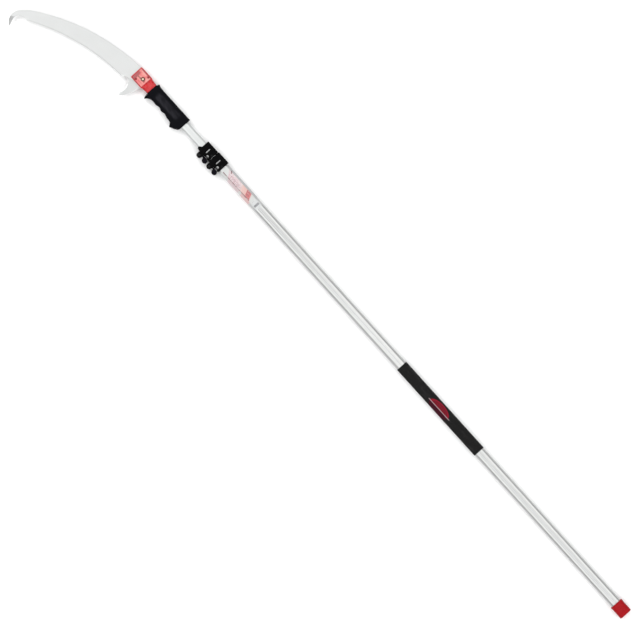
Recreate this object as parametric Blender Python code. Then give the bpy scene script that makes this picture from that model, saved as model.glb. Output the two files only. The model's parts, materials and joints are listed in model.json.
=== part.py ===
"""A telescoping pole saw: three oval tubes that slide in one another, two cam-lever clamps and a curved saw head.

Sizes are in metres. The pole lies along +X from the butt cap to the saw head, the cutting side of the blade
faces +Y, and +Z is up with the saw lying on its side. The origin is the centre of the butt cap's end face.
"""

import math
from typing import NamedTuple

import bmesh
import bpy
from mathutils import Matrix, Vector

# Fits
TOUCH = 0.0003  # between two pieces that meet
SLIDE_GAP = 0.0007  # all round, between a tube and the tube that it slides in
BUSH_GAP = 0.00035  # all round, between a guide or a collar and the tube that slides past it
THROUGH = 0.002  # how far a cutter runs past the wall that it cuts
BITE = 0.0006  # how far two shapes that are joined run into each other

# Tubes, each with an oval section: two half circles joined by the flats of its broad sides
OUTER_TUBE_LENGTH = 2.0682
OUTER_TUBE_WIDTH = 0.031  # along Z, across the flats
OUTER_TUBE_FLAT = 0.009  # along Y
TUBE_WALL = 0.0013
FLUTE_WIDTH = 0.0052  # the shallow flute down each broad side of the outer tube
FLUTE_DEPTH = 0.0005
MIDDLE_TUBE_SETBACK = 0.040  # from the outer tube's rear end to the middle tube's
SAW_TUBE_SETBACK = 0.105  # from the middle tube's rear end to the saw tube's
SAW_TUBE_SHOWING = 0.0955  # from the middle tube's clamp to the handle

# Guides, plugged into the rear ends of the two sliding tubes
GUIDE_FLANGE = 0.006
GUIDE_PLUG = 0.018
GUIDE_VENT_RADIUS = 0.004

# Butt cap, grip sleeve and label on the outer tube
CAP_LENGTH = 0.050
CAP_BOTTOM = 0.004
CAP_WALL = 0.0037
CAP_CORNER = 0.0145
CAP_ROUNDING = 0.003
SLEEVE_START = 0.745
SLEEVE_LENGTH = 0.393
SLEEVE_WALL = 0.001
LABEL_LENGTH = 0.148
LABEL_TO_COLLAR = 0.003
LABEL_WALL = 0.00025

# Clamps: the collar
COLLAR_ON_TUBE = 0.029  # how far the fixed tube reaches into its collar
COLLAR_PAST_AXLE = 0.014
COLLAR_BACK_WALL = 0.0055
COLLAR_BELLY_WALL = 0.0025
COLLAR_SIDE_WALL = 0.0037
COLLAR_CORNER = 0.011
COLLAR_CHAMFER = 0.0012
COLLAR_SPACING = 0.001  # between the two collars of the closed pole
FLEX_SLOT_X = 0.0243
FLEX_SLOT_WIDTH = 0.0034
FLEX_SLOT_TOP = -0.012
FLEX_SLOT_BOTTOM = 0.010
WINDOW_X = 0.0135
WINDOW_WIDTH = 0.0105
WINDOW_TOP = 0.0095
SCREW_X = 0.006
LIP_LENGTH = 0.009
LIP_HALF_WIDTH = 0.014

# Clamps: the lever, its cam and axle, and the pad that it presses on the sliding tube
AXLE_RADIUS = 0.0025
AXLE_HEAD_RADIUS = 0.0042
AXLE_HEAD = 0.0016
AXLE_TAIL = 0.0028
CLIP_RADIUS = 0.0048
CLIP_THICKNESS = 0.001
EAR_RADIUS = 0.0094
EAR_THICKNESS = 0.007
LEVER_HALF_WIDTH = 0.0069
CAM_RADIUS = 0.0086
CAM_THROW = 0.0012
LEVER_TO_BELLY = 0.0006
LEVER_REACH = 0.0265  # from the axle back to the centre of the lobe
LOBE_RADIUS = 0.0097
LOBE_SEAT = 0.9  # how high the lobe's centre stands over its flat, as a share of its radius
LOBE_HALF_WIDTH = 0.011
NECK_DEPTH = 0.0052
NECK_SHARE = 0.27  # half the neck's length, as a share of the space between lobe and cam
PAD_LENGTH = 0.0134
PAD_SADDLE = 0.0022  # how far the pad's edges rise round the tube
OUTER_CAM_SINK = 0.001  # how far the closed cam reaches into the collar
MIDDLE_CAM_SINK = 0.0

# Screws and rivets
SCREW_RADIUS = 0.0016
SCREW_HEAD_RADIUS = 0.0034
SCREW_HEAD = 0.0014
SCREW_SUNK = 0.0004
RIVET_RADIUS = 0.0025

# Handle: distance from its rear end, back (-Y) and belly (+Y) surfaces, half width
HANDLE_STATIONS = (
    (0.0000, -0.0250, 0.0185, 0.0145),
    (0.0015, -0.0266, 0.0240, 0.0160),
    (0.0050, -0.0262, 0.0290, 0.0170),
    (0.0090, -0.0257, 0.0315, 0.0170),
    (0.0140, -0.0257, 0.0348, 0.0170),
    (0.0200, -0.0257, 0.0376, 0.0168),
    (0.0250, -0.0257, 0.0403, 0.0165),
    (0.0295, -0.0257, 0.0428, 0.0162),
    (0.0330, -0.0257, 0.0400, 0.0165),
    (0.0370, -0.0257, 0.0345, 0.0168),
    (0.0420, -0.0257, 0.0305, 0.0170),
    (0.0490, -0.0257, 0.0286, 0.0170),
    (0.0570, -0.0257, 0.0283, 0.0170),
    (0.0650, -0.0257, 0.0266, 0.0170),
    (0.0740, -0.0257, 0.0247, 0.0170),
    (0.0880, -0.0257, 0.0272, 0.0170),
    (0.1030, -0.0257, 0.0232, 0.0170),
    (0.1170, -0.0257, 0.0260, 0.0170),
    (0.1310, -0.0257, 0.0252, 0.0170),
    (0.1390, -0.0257, 0.0262, 0.0170),
    (0.1460, -0.0260, 0.0290, 0.0170),
    (0.1515, -0.0270, 0.0332, 0.0170),
    (0.1557, -0.0288, 0.0378, 0.0168),
    (0.1585, -0.0300, 0.0410, 0.0166),
    (0.1613, -0.0258, 0.0378, 0.0164),
    (0.1642, -0.0200, 0.0245, 0.0150),
)
HANDLE_SECTION_POWER = 2.6  # 2 is an ellipse, more is squarer
HANDLE_SCREWS = (0.060, 0.130)  # from the handle's rear end
HANDLE_SCREW_SUNK = 0.0035

# Blade holder: distance from its rear end, half height, half width, corner radius
HOLDER_STATIONS = (
    (0.0000, 0.0200, 0.0145, 0.0100),
    (0.0030, 0.0212, 0.0152, 0.0105),
    (0.0236, 0.0236, 0.0155, 0.0105),
    (0.0252, 0.0236, 0.0145, 0.0095),
    (0.0266, 0.0252, 0.0120, 0.0060),
    (0.0768, 0.0254, 0.0112, 0.0060),
    (0.0795, 0.0241, 0.0098, 0.0050),
)
HOLDER_ON_TUBE = 0.0207
HOLDER_SEAM = 0.00015  # half of the gap between the two halves

# Tang block inside the saw tube
TANG_BLOCK_LENGTH = 0.075
TANG_BLOCK_WALL = 0.003  # behind the tang
REAR_RIVET = 0.018  # from the block's rear end
FRONT_RIVET = 0.012  # behind the blade holder

# Saw blade. Both edges are arcs: lowest point of each, measured from the holder's front end, and radius
BLADE_THICKNESS = 0.0018
BACK_LOW = (-0.0544, -0.0245)
BACK_RADIUS = 0.7493
TEETH_LOW = (-0.0193, 0.0440)
TEETH_RADIUS = 0.7554
TEETH_START = 0.026
TEETH_END = 0.378
TOOTH_COUNT = 80
TOOTH_DEPTH = 0.0034
TOOTH_LEAN = 0.3  # where the tip stands, as a share of the pitch from the tooth's handle side
TANG_HALF_HEIGHT = 0.009
HEEL = ((0.019, 0.0400), (0.010, 0.0355), (-0.001, 0.0325), (-0.008, 0.0300), (-0.032, 0.0140))
TANG_BACK = ((-0.036, -0.0120), (-0.020, -0.0225))
# The hooked tip, from the last of the back to the first tooth, measured from the end of the teeth
TIP_HOOK = (
    (0.0390, -0.0090),
    (0.0490, 0.0060),
    (0.0525, 0.0230),
    (0.0490, 0.0370),
    (0.0410, 0.0490),
    (0.0270, 0.0590),
    (0.0340, 0.0420),
    (0.0380, 0.0280),
    (0.0340, 0.0130),
    (0.0240, 0.0060),
    (0.0120, 0.0022),
)
TIP_HOOK_START = 0.0195

# Undercut hook: its root in the holder and its curved claw, measured from the holder's front end
HOOK_THICKNESS = 0.0025
HOOK_ROOT = ((-0.0470, 0.0060), (-0.0410, -0.0080), (-0.0210, -0.0080), (-0.0080, 0.0140), (0.0030, 0.0290))
HOOK_CLAW = (
    (0.0090, 0.0350),
    (-0.0030, 0.0410),
    (-0.0130, 0.0570),
    (-0.0160, 0.0730),
    (-0.0130, 0.0870),
    (-0.0155, 0.0970),
    (-0.0275, 0.0870),
    (-0.0370, 0.0680),
    (-0.0420, 0.0530),
    (-0.0470, 0.0310),
)

# Holder fasteners, measured from the holder's front end
BLADE_BOLT = (-0.0342, 0.0)
BLADE_BOLT_RADIUS = 0.0039
BLADE_BOLT_HEAD_RADIUS = 0.0070
BLADE_BOLT_HEAD = 0.0036
SOCKET_RADIUS = 0.0029
SOCKET_DEPTH = 0.0022
NUT_RADIUS = 0.0075
NUT_HEIGHT = 0.0048
BOLT_TAIL = 0.0008
HOLDER_SCREW = (-0.0420, -0.0175)
HOOK_SCREW = (-0.0170, 0.0170)
HOLDER_SCREW_DEPTH = 0.0065  # how far the two screws reach into the right half

# How finely round shapes are divided
CORNER_STEPS = 5
CIRCLE_STEPS = 20
SMALL_CIRCLE_STEPS = 14
SPLINE_STEPS = 3
BACK_STEPS = 24
HANDLE_RING = 24


class Oval(NamedTuple):
    """A section across the pole: its size along Y, its size along Z and its corner radius."""

    height: float
    width: float
    corner: float

    def grown(self, gap):
        """The same section moved outwards by gap all round."""
        return Oval(self.height + 2 * gap, self.width + 2 * gap, self.corner + gap)


class Finish(NamedTuple):
    """What a piece is made of."""

    name: str
    colour: tuple
    roughness: float
    metallic: float


ALUMINIUM = Finish("anodised_aluminium", (0.72, 0.73, 0.74), 0.32, 1.0)
BLADE_STEEL = Finish("blade_steel", (0.72, 0.73, 0.73), 0.34, 1.0)
ZINC_STEEL = Finish("zinc_steel", (0.62, 0.62, 0.60), 0.38, 1.0)
BLACK_NYLON = Finish("black_nylon", (0.022, 0.022, 0.024), 0.48, 0.0)
BLACK_RUBBER = Finish("black_rubber", (0.018, 0.018, 0.021), 0.62, 0.0)
GREY_NYLON = Finish("grey_nylon", (0.30, 0.30, 0.31), 0.5, 0.0)
RED_PLASTIC = Finish("red_plastic", (0.62, 0.022, 0.028), 0.34, 0.0)
RED_RUBBER = Finish("red_rubber", (0.42, 0.012, 0.020), 0.55, 0.0)
LABEL_FILM = Finish("label_film", (0.84, 0.80, 0.80), 0.4, 0.0)


# Sizes that follow from the ones above
OUTER = Oval(OUTER_TUBE_WIDTH + OUTER_TUBE_FLAT, OUTER_TUBE_WIDTH, OUTER_TUBE_WIDTH / 2)
MIDDLE = OUTER.grown(-TUBE_WALL - SLIDE_GAP)
SAW = MIDDLE.grown(-TUBE_WALL - SLIDE_GAP)

AXLE_X = COLLAR_ON_TUBE + TOUCH + PAD_LENGTH / 2
COLLAR_LENGTH = AXLE_X + COLLAR_PAST_AXLE

OUTER_START = CAP_BOTTOM + TOUCH
OUTER_END = OUTER_START + OUTER_TUBE_LENGTH
OUTER_COLLAR_X = OUTER_END - COLLAR_ON_TUBE
MIDDLE_COLLAR_X = OUTER_COLLAR_X + COLLAR_LENGTH + COLLAR_SPACING
MIDDLE_START = OUTER_START + MIDDLE_TUBE_SETBACK
MIDDLE_END = MIDDLE_COLLAR_X + COLLAR_ON_TUBE
SAW_START = MIDDLE_START + SAW_TUBE_SETBACK
HANDLE_X = MIDDLE_COLLAR_X + COLLAR_LENGTH + SAW_TUBE_SHOWING
HOLDER_X = HANDLE_X + HANDLE_STATIONS[-1][0] + TOUCH
SAW_END = HOLDER_X + HOLDER_ON_TUBE
HEAD_X = HOLDER_X + HOLDER_STATIONS[-1][0]
TANG_BLOCK_X = SAW_END - TOUCH - TANG_BLOCK_LENGTH
TANG_RIVETS = (TANG_BLOCK_X + REAR_RIVET, HOLDER_X - FRONT_RIVET)


# Outlines, as lists of points in a plane
def without_repeats(points):
    """The closed outline with points that lie on the one before them left out."""
    return [point for point, before in zip(points, points[-1:] + points[:-1]) if math.dist(point, before) > 1e-6]


def arc(centre, radius, start, end, steps):
    """Points along an arc from one angle to the other, in degrees, both ends included."""
    angles = [math.radians(start + (end - start) * step / steps) for step in range(steps + 1)]
    return [(centre[0] + radius * math.cos(angle), centre[1] + radius * math.sin(angle)) for angle in angles]


def circle(centre, radius, steps=CIRCLE_STEPS):
    """A whole circle, or a regular polygon with a few steps."""
    return arc(centre, radius, 0, 360, steps)[:-1]


def rectangle(low, high):
    """A rectangle between two corners."""
    return [low, (high[0], low[1]), high, (low[0], high[1])]


def section(shape, flute=None, shift=0.0):
    """An oval's outline in Y and Z, with a flute of the given depth in the middle of each broad side."""
    straight_y = shape.height / 2 - shape.corner
    straight_z = shape.width / 2 - shape.corner
    points = []
    for quarter, (side_y, side_z) in enumerate(((1, 1), (-1, 1), (-1, -1), (1, -1))):
        centre = (side_y * straight_y + shift, side_z * straight_z)
        points += arc(centre, shape.corner, quarter * 90, quarter * 90 + 90, CORNER_STEPS)
        if flute is not None and quarter in (0, 2):
            edge = shape.width / 2
            half, floor = FLUTE_WIDTH / 2, FLUTE_WIDTH / 2 - FLUTE_DEPTH
            across = ((half, edge), (floor, edge - flute), (-floor, edge - flute), (-half, edge))
            points += [(side_y * y, side_z * z) for y, z in across]
    return without_repeats(points)


def spline(points, steps=SPLINE_STEPS):
    """A smooth curve through the points, both ends included."""
    ends = [Vector(points[0]) * 2 - Vector(points[1])]
    ends += [Vector(point) for point in points]
    ends += [Vector(points[-1]) * 2 - Vector(points[-2])]
    curve = []
    for before, start, end, after in zip(ends, ends[1:], ends[2:], ends[3:]):
        for step in range(steps):
            t = step / steps
            curve.append(
                0.5
                * (
                    2 * start
                    + (end - before) * t
                    + (2 * before - 5 * start + 4 * end - after) * t**2
                    + (3 * start - before - 3 * end + after) * t**3
                )
            )
    return [tuple(point) for point in curve] + [tuple(points[-1])]


def outline_grown(points, gap):
    """A closed outline moved outwards by gap all round, with its corners kept sharp."""
    area = sum(a[0] * b[1] - b[0] * a[1] for a, b in zip(points, points[1:] + points[:1]))
    outward = gap if area > 0 else -gap
    moved = []
    for before, point, after in zip(points[-1:] + points[:-1], points, points[1:] + points[:1]):
        into = (Vector(point) - Vector(before)).normalized()
        out = (Vector(after) - Vector(point)).normalized()
        normal = Vector((into.y + out.y, -into.x - out.x)).normalized()
        moved.append(tuple(Vector(point) + normal * outward / max(normal.dot((out.y, -out.x)), 0.5)))
    return moved


# Solids
def material(finish):
    """The Blender material of a finish, made once."""
    if finish.name in bpy.data.materials:
        return bpy.data.materials[finish.name]
    made = bpy.data.materials.new(finish.name)
    made.use_nodes = True
    shader = made.node_tree.nodes["Principled BSDF"]
    shader.inputs["Base Color"].default_value = (*finish.colour, 1.0)
    shader.inputs["Roughness"].default_value = finish.roughness
    shader.inputs["Metallic"].default_value = finish.metallic
    return made


def in_space(axis, outline, along):
    """The outline's points in space, in the plane across the axis at the given distance along it."""
    if axis == "X":
        return [(along, a, b) for a, b in outline]
    if axis == "Y":
        return [(a, along, b) for a, b in outline]
    return [(a, b, along) for a, b in outline]


def skin(name, rings, finish, looped=False):
    """A closed solid through rings of points: capped at both ends, or with the last ring joined to the first.

    Its sides are split into triangles, because a Boolean leaves cracks along a bent four-sided face.
    """
    mesh = bpy.data.meshes.new(name)
    build = bmesh.new()
    rows = [[build.verts.new(point) for point in ring] for ring in rings]
    pairs = list(zip(rows, rows[1:]))
    sides = []
    if looped:
        pairs.append((rows[-1], rows[0]))
    else:
        build.faces.new(rows[0])
        build.faces.new(rows[-1])
    for low, high in pairs:
        for i in range(len(low)):
            j = (i + 1) % len(low)
            sides.append(build.faces.new((low[i], low[j], high[j], high[i])))
    bmesh.ops.triangulate(build, faces=sides)
    bmesh.ops.recalc_face_normals(build, faces=build.faces)
    build.to_mesh(mesh)
    build.free()
    mesh.materials.append(material(finish))
    mesh.shade_smooth()
    mesh.set_sharp_from_angle(angle=math.radians(32))
    made = bpy.data.objects.new(name, mesh)
    bpy.context.scene.collection.objects.link(made)
    return made


def prism(name, axis, outline, low, high, finish):
    """An outline extruded along an axis."""
    return skin(name, [in_space(axis, outline, low), in_space(axis, outline, high)], finish)


def pipe(name, outside, inside, low, high, finish):
    """A hollow section extruded along X. Both outlines have the same number of points."""
    rings = [
        in_space("X", outside, low),
        in_space("X", outside, high),
        in_space("X", inside, high),
        in_space("X", inside, low),
    ]
    return skin(name, rings, finish, looped=True)


# The exact solver leaves cracks in these pieces, where many cuts cross
CRACKING_PIECES = ("handle", "collar")


def change(target, tool, operation):
    """A Boolean of the target with a tool, which is hidden from renders."""
    modifier = target.modifiers.new(f"{operation.lower()}_{tool.name}", "BOOLEAN")
    modifier.operation = operation
    modifier.object = tool
    if target.name.endswith(CRACKING_PIECES):
        modifier.solver = "MANIFOLD"
    tool.hide_render = True
    tool.display_type = "WIRE"


def cut(target, axis, outline, low, high):
    """Cuts an extruded outline out of the target."""
    tool = prism(f"{target.name}_cutter", axis, outline, min(low, high), max(low, high), ZINC_STEEL)
    change(target, tool, "DIFFERENCE")


def join(target, axis, outline, low, high):
    """Adds an extruded outline to the target."""
    tool = prism(f"{target.name}_addition", axis, outline, min(low, high), max(low, high), ZINC_STEEL)
    change(target, tool, "UNION")


def hang(parent, *pieces):
    """Parents the pieces to an empty that stands on the pole's axis at the origin."""
    for piece in pieces:
        piece.parent = parent


def set_origin(piece, point):
    """Moves the piece's origin to a point without moving its shape."""
    piece.data.transform(Matrix.Translation(-Vector(point)))
    piece.location = point


def fastener(name, axis, centre, shank, head, base, tip, finish=ZINC_STEEL):
    """A round fastener whose head's underside is at base and whose shank runs to tip.

    shank is a radius, and head a radius and a thickness.
    """
    outward = math.copysign(1.0, base - tip)
    piece = prism(
        name,
        axis,
        circle(centre, head[0], SMALL_CIRCLE_STEPS),
        *sorted((base, base + outward * head[1])),
        finish,
    )
    join(piece, axis, circle(centre, shank, SMALL_CIRCLE_STEPS), base + outward * BITE, tip)
    return piece


# Pole
def outer_tube():
    """The tube that is held, fluted down both broad sides."""
    bore = section(OUTER.grown(-TUBE_WALL), flute=0.0)
    tube = pipe("outer_tube", section(OUTER, flute=FLUTE_DEPTH), bore, OUTER_START, OUTER_END, ALUMINIUM)
    cut_collar_screw_holes(tube, OUTER_COLLAR_X, OUTER)
    return tube


def middle_tube():
    """The tube that slides in the outer one and carries the second clamp."""
    bore = section(MIDDLE.grown(-TUBE_WALL))
    tube = pipe("middle_tube", section(MIDDLE), bore, MIDDLE_START, MIDDLE_END, ALUMINIUM)
    cut_collar_screw_holes(tube, MIDDLE_COLLAR_X, MIDDLE)
    return tube


def saw_tube():
    """The innermost tube, which carries the handle and the saw head."""
    bore = section(SAW.grown(-TUBE_WALL))
    tube = pipe("saw_tube", section(SAW), bore, SAW_START, SAW_END, ALUMINIUM)
    for along in HANDLE_SCREWS:
        hole = circle((HANDLE_X + along, 0.0), SCREW_RADIUS + TOUCH, SMALL_CIRCLE_STEPS)
        cut(tube, "Y", hole, -SAW.height / 2 - THROUGH, -SAW.height / 2 + TUBE_WALL + THROUGH)
    cut_tang_rivet_holes(tube, SAW.width / 2)
    return tube


def cut_collar_screw_holes(tube, collar_x, shape):
    """The two holes for the collar's screws, in line across the tube."""
    hole = circle((collar_x + SCREW_X, 0.0), SCREW_RADIUS + TOUCH, SMALL_CIRCLE_STEPS)
    cut(tube, "Z", hole, -shape.width / 2 - THROUGH, shape.width / 2 + THROUGH)


def cut_tang_rivet_holes(piece, half_width):
    """The holes for the rivets through the saw tube, the tang block and the tang."""
    for along in TANG_RIVETS:
        hole = circle((along, 0.0), RIVET_RADIUS + TOUCH, SMALL_CIRCLE_STEPS)
        cut(piece, "Z", hole, -half_width - THROUGH, half_width + THROUGH)


def guide(name, tube, start, around):
    """A plug in the rear end of a tube, with a flange that runs in the tube around it."""
    flange = around.grown(-TUBE_WALL - BUSH_GAP)
    piece = prism(name, "X", section(flange), start - TOUCH - GUIDE_FLANGE, start - TOUCH, GREY_NYLON)
    plug = section(tube.grown(-TUBE_WALL - TOUCH))
    join(piece, "X", plug, start - TOUCH - BITE, start + GUIDE_PLUG)
    vent = circle((0.0, 0.0), GUIDE_VENT_RADIUS, SMALL_CIRCLE_STEPS)
    cut(piece, "X", vent, start - GUIDE_FLANGE - THROUGH, start + GUIDE_PLUG + THROUGH)
    return piece


def butt_cap():
    """The rubber cup over the outer tube's rear end."""
    full = Oval(OUTER.height + 2 * CAP_WALL, OUTER_COLLAR_WIDTH, CAP_CORNER)
    rings = []
    for along, inset in (
        (0.0, CAP_ROUNDING),
        (CAP_ROUNDING * 0.3, CAP_ROUNDING * 0.3),
        (CAP_ROUNDING, 0.0),
        (CAP_LENGTH - CAP_ROUNDING * 0.5, 0.0),
        (CAP_LENGTH, CAP_ROUNDING * 0.5),
    ):
        rings.append(in_space("X", section(full.grown(-inset)), along))
    cap = skin("butt_cap", rings, RED_RUBBER)
    cut(cap, "X", section(OUTER.grown(TOUCH)), CAP_BOTTOM, CAP_LENGTH + THROUGH)
    return cap


def grip_sleeve():
    """The thin rubber sleeve on the outer tube."""
    inside = OUTER.grown(TOUCH)
    outside = inside.grown(SLEEVE_WALL)
    end = SLEEVE_START + SLEEVE_LENGTH
    return pipe("grip_sleeve", section(outside), section(inside), SLEEVE_START, end, BLACK_RUBBER)


def pole_label():
    """The printed film round the outer tube behind its clamp."""
    inside = OUTER.grown(TOUCH)
    outside = inside.grown(LABEL_WALL)
    end = OUTER_COLLAR_X - LABEL_TO_COLLAR
    return pipe("pole_label", section(outside), section(inside), end - LABEL_LENGTH, end, LABEL_FILM)


# Clamps
class Clamp(NamedTuple):
    """One cam-lever clamp: the tube that it is fixed to, the tube that it grips, and where it stands."""

    name: str
    fixed: Oval
    sliding: Oval
    x: float
    cam_sink: float
    lip: bool

    @property
    def belly(self):
        """Y of the collar's surface on the lever side."""
        return self.fixed.height / 2 + TOUCH + COLLAR_BELLY_WALL

    @property
    def half_width(self):
        """Z of the collar's broad sides."""
        return self.fixed.width / 2 + TOUCH + COLLAR_SIDE_WALL

    @property
    def axle(self):
        """X and Y of the lever's axle."""
        return (self.x + AXLE_X, self.cam_top + CAM_RADIUS + CAM_THROW)

    @property
    def cam_top(self):
        """Y of the closed cam where it meets the pad."""
        return self.belly - self.cam_sink

    @property
    def ear_side(self):
        """Z of the ears' outer faces."""
        return LEVER_HALF_WIDTH + TOUCH + EAR_THICKNESS


OUTER_CLAMP = Clamp("outer_clamp", OUTER, MIDDLE, OUTER_COLLAR_X, OUTER_CAM_SINK, False)
MIDDLE_CLAMP = Clamp("middle_clamp", MIDDLE, SAW, MIDDLE_COLLAR_X, MIDDLE_CAM_SINK, True)
OUTER_COLLAR_WIDTH = 2 * OUTER_CLAMP.half_width


def collar(clamp):
    """The moulded collar: a thick back, ears for the lever, flex slots, side windows and a window for the pad."""
    back = clamp.fixed.height / 2 + TOUCH + COLLAR_BACK_WALL
    shape = Oval(back + clamp.belly, 2 * clamp.half_width, COLLAR_CORNER)
    shift = (clamp.belly - back) / 2
    front = clamp.x + COLLAR_LENGTH
    rings = []
    for along, inset in (
        (clamp.x, COLLAR_CHAMFER),
        (clamp.x + COLLAR_CHAMFER, 0.0),
        (front - COLLAR_CHAMFER, 0.0),
        (front, COLLAR_CHAMFER),
    ):
        rings.append(in_space("X", section(shape.grown(-inset), shift=shift), along))
    piece = skin(f"{clamp.name}_collar", rings, BLACK_NYLON)

    axle_x, axle_y = clamp.axle
    ear = arc(clamp.axle, EAR_RADIUS, 180, 0, CIRCLE_STEPS // 2)
    ear += [(axle_x + EAR_RADIUS, clamp.sliding.height / 4), (axle_x - EAR_RADIUS, clamp.sliding.height / 4)]
    for side in (1, -1):
        join(piece, "Z", ear, side * (LEVER_HALF_WIDTH + TOUCH), side * clamp.ear_side)
    if clamp.lip:
        lip = [
            (front - COLLAR_CHAMFER - BITE, 0.2 * clamp.belly),
            (front, 0.2 * clamp.belly),
            (front + LIP_LENGTH, 0.6 * clamp.belly),
            (front + LIP_LENGTH / 2, clamp.belly),
            (front - COLLAR_CHAMFER - BITE, clamp.belly - BITE),
        ]
        join(piece, "Z", lip, -LIP_HALF_WIDTH, LIP_HALF_WIDTH)

    rear_bore = section(clamp.fixed.grown(TOUCH))
    cut(piece, "X", rear_bore, clamp.x - THROUGH, clamp.x + COLLAR_ON_TUBE + TOUCH)
    front_bore = section(clamp.sliding.grown(BUSH_GAP))
    cut(piece, "X", front_bore, clamp.x + COLLAR_ON_TUBE - THROUGH, front + LIP_LENGTH + THROUGH)

    side = clamp.half_width + THROUGH
    slot_x = clamp.x + FLEX_SLOT_X
    cut(piece, "Z", rectangle((slot_x, FLEX_SLOT_TOP), (slot_x + FLEX_SLOT_WIDTH, FLEX_SLOT_BOTTOM)), -side, side)
    window_centre = (clamp.x + WINDOW_X, WINDOW_TOP + WINDOW_WIDTH / 2)
    window = arc(window_centre, WINDOW_WIDTH / 2, 180, 360, CIRCLE_STEPS // 2)
    window += [
        (window_centre[0] + WINDOW_WIDTH / 2, clamp.belly + THROUGH),
        (window_centre[0] - WINDOW_WIDTH / 2, clamp.belly + THROUGH),
    ]
    cut(piece, "Z", window, -side, side)

    half_pad = PAD_LENGTH / 2 + TOUCH
    pad_window = rectangle(
        (axle_x - half_pad, clamp.sliding.height / 2 - PAD_SADDLE - TOUCH - THROUGH),
        (axle_x + half_pad, clamp.belly + THROUGH),
    )
    cut(piece, "Z", pad_window, -LEVER_HALF_WIDTH - TOUCH, LEVER_HALF_WIDTH + TOUCH)
    cut(piece, "Z", circle(clamp.axle, AXLE_RADIUS + TOUCH, SMALL_CIRCLE_STEPS), -side, side)
    screw = (clamp.x + SCREW_X, 0.0)
    cut(piece, "Z", circle(screw, SCREW_RADIUS + TOUCH, SMALL_CIRCLE_STEPS), -side, side)
    for facing in (1, -1):
        recess = circle(screw, SCREW_HEAD_RADIUS + TOUCH, SMALL_CIRCLE_STEPS)
        floor = clamp.half_width - SCREW_SUNK - SCREW_HEAD - TOUCH
        cut(piece, "Z", recess, facing * floor, facing * side)
    return piece


def lever(clamp):
    """The cam lever: a cam on the axle, a thin neck along the collar and a rounded lobe to lift it by."""
    axle_x, axle_y = clamp.axle
    cam = (axle_x, axle_y - CAM_THROW)
    top = clamp.belly + LEVER_TO_BELLY
    lobe = (axle_x - LEVER_REACH, top + LOBE_SEAT * LOBE_RADIUS)
    neck = top + NECK_DEPTH
    cam_meets_top = -180 + math.degrees(math.asin((cam[1] - top) / CAM_RADIUS))
    lobe_meets_top = 180 + math.degrees(math.asin((lobe[1] - top) / LOBE_RADIUS))
    neck_start, neck_end = lobe[0] + LOBE_RADIUS, axle_x - CAM_RADIUS
    middle, reach = (neck_start + neck_end) / 2, (neck_end - neck_start) * NECK_SHARE
    outline = arc(lobe, LOBE_RADIUS, lobe_meets_top, 10, CIRCLE_STEPS // 2)
    outline += [(middle - reach, neck + BITE), (middle, neck), (middle + reach, neck + BITE)]
    outline += arc(cam, CAM_RADIUS, 170, cam_meets_top, CIRCLE_STEPS)
    piece = prism(f"{clamp.name}_lever", "Z", outline, -LEVER_HALF_WIDTH, LEVER_HALF_WIDTH, BLACK_NYLON)
    half_chord = math.sqrt(LOBE_RADIUS**2 - (lobe[1] - top) ** 2)
    paddle = arc(lobe, LOBE_RADIUS - BITE, 180, 0, CIRCLE_STEPS // 2)
    paddle += [(lobe[0] + half_chord - BITE, top + BITE), (lobe[0] - half_chord + BITE, top + BITE)]
    join(piece, "Z", paddle, -LOBE_HALF_WIDTH, LOBE_HALF_WIDTH)
    hole = circle(clamp.axle, AXLE_RADIUS + TOUCH, SMALL_CIRCLE_STEPS)
    cut(piece, "Z", hole, -LEVER_HALF_WIDTH - THROUGH, LEVER_HALF_WIDTH + THROUGH)
    set_origin(piece, (axle_x, axle_y, 0.0))
    return piece


def pad(clamp):
    """The block that the cam presses on the sliding tube, hollowed to the tube's round."""
    axle_x = clamp.axle[0]
    tube_low = clamp.sliding.height / 2
    block = rectangle(
        (axle_x - PAD_LENGTH / 2, tube_low - PAD_SADDLE),
        (axle_x + PAD_LENGTH / 2, clamp.cam_top - TOUCH),
    )
    piece = prism(f"{clamp.name}_pad", "Z", block, -LEVER_HALF_WIDTH, LEVER_HALF_WIDTH, GREY_NYLON)
    tube = section(clamp.sliding.grown(TOUCH))
    cut(piece, "X", tube, axle_x - PAD_LENGTH, axle_x + PAD_LENGTH)
    set_origin(piece, (axle_x, tube_low, 0.0))
    return piece


def axle(clamp):
    """The lever's headed axle."""
    base = clamp.ear_side + TOUCH
    head = (AXLE_HEAD_RADIUS, AXLE_HEAD)
    return fastener(f"{clamp.name}_axle", "Z", clamp.axle, AXLE_RADIUS, head, base, -base - AXLE_TAIL)


def clip(clamp):
    """The open ring that keeps the axle in."""
    inside = AXLE_RADIUS + TOUCH
    outline = arc(clamp.axle, CLIP_RADIUS, 120, 420, CIRCLE_STEPS)
    outline += arc(clamp.axle, inside, 420, 120, CIRCLE_STEPS)
    low = -clamp.ear_side - TOUCH - CLIP_THICKNESS
    return prism(f"{clamp.name}_clip", "Z", outline, low, low + CLIP_THICKNESS, ZINC_STEEL)


def collar_screws(clamp):
    """The two screws that hold the collar on its tube, one from each side."""
    centre = (clamp.x + SCREW_X, 0.0)
    head = (SCREW_HEAD_RADIUS, SCREW_HEAD)
    base = clamp.half_width - SCREW_SUNK - SCREW_HEAD
    tip = clamp.fixed.width / 2 - TUBE_WALL
    return [
        fastener(f"{clamp.name}_screw_{side}", "Z", centre, SCREW_RADIUS, head, sign * base, sign * tip)
        for side, sign in (("left", 1), ("right", -1))
    ]


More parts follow.
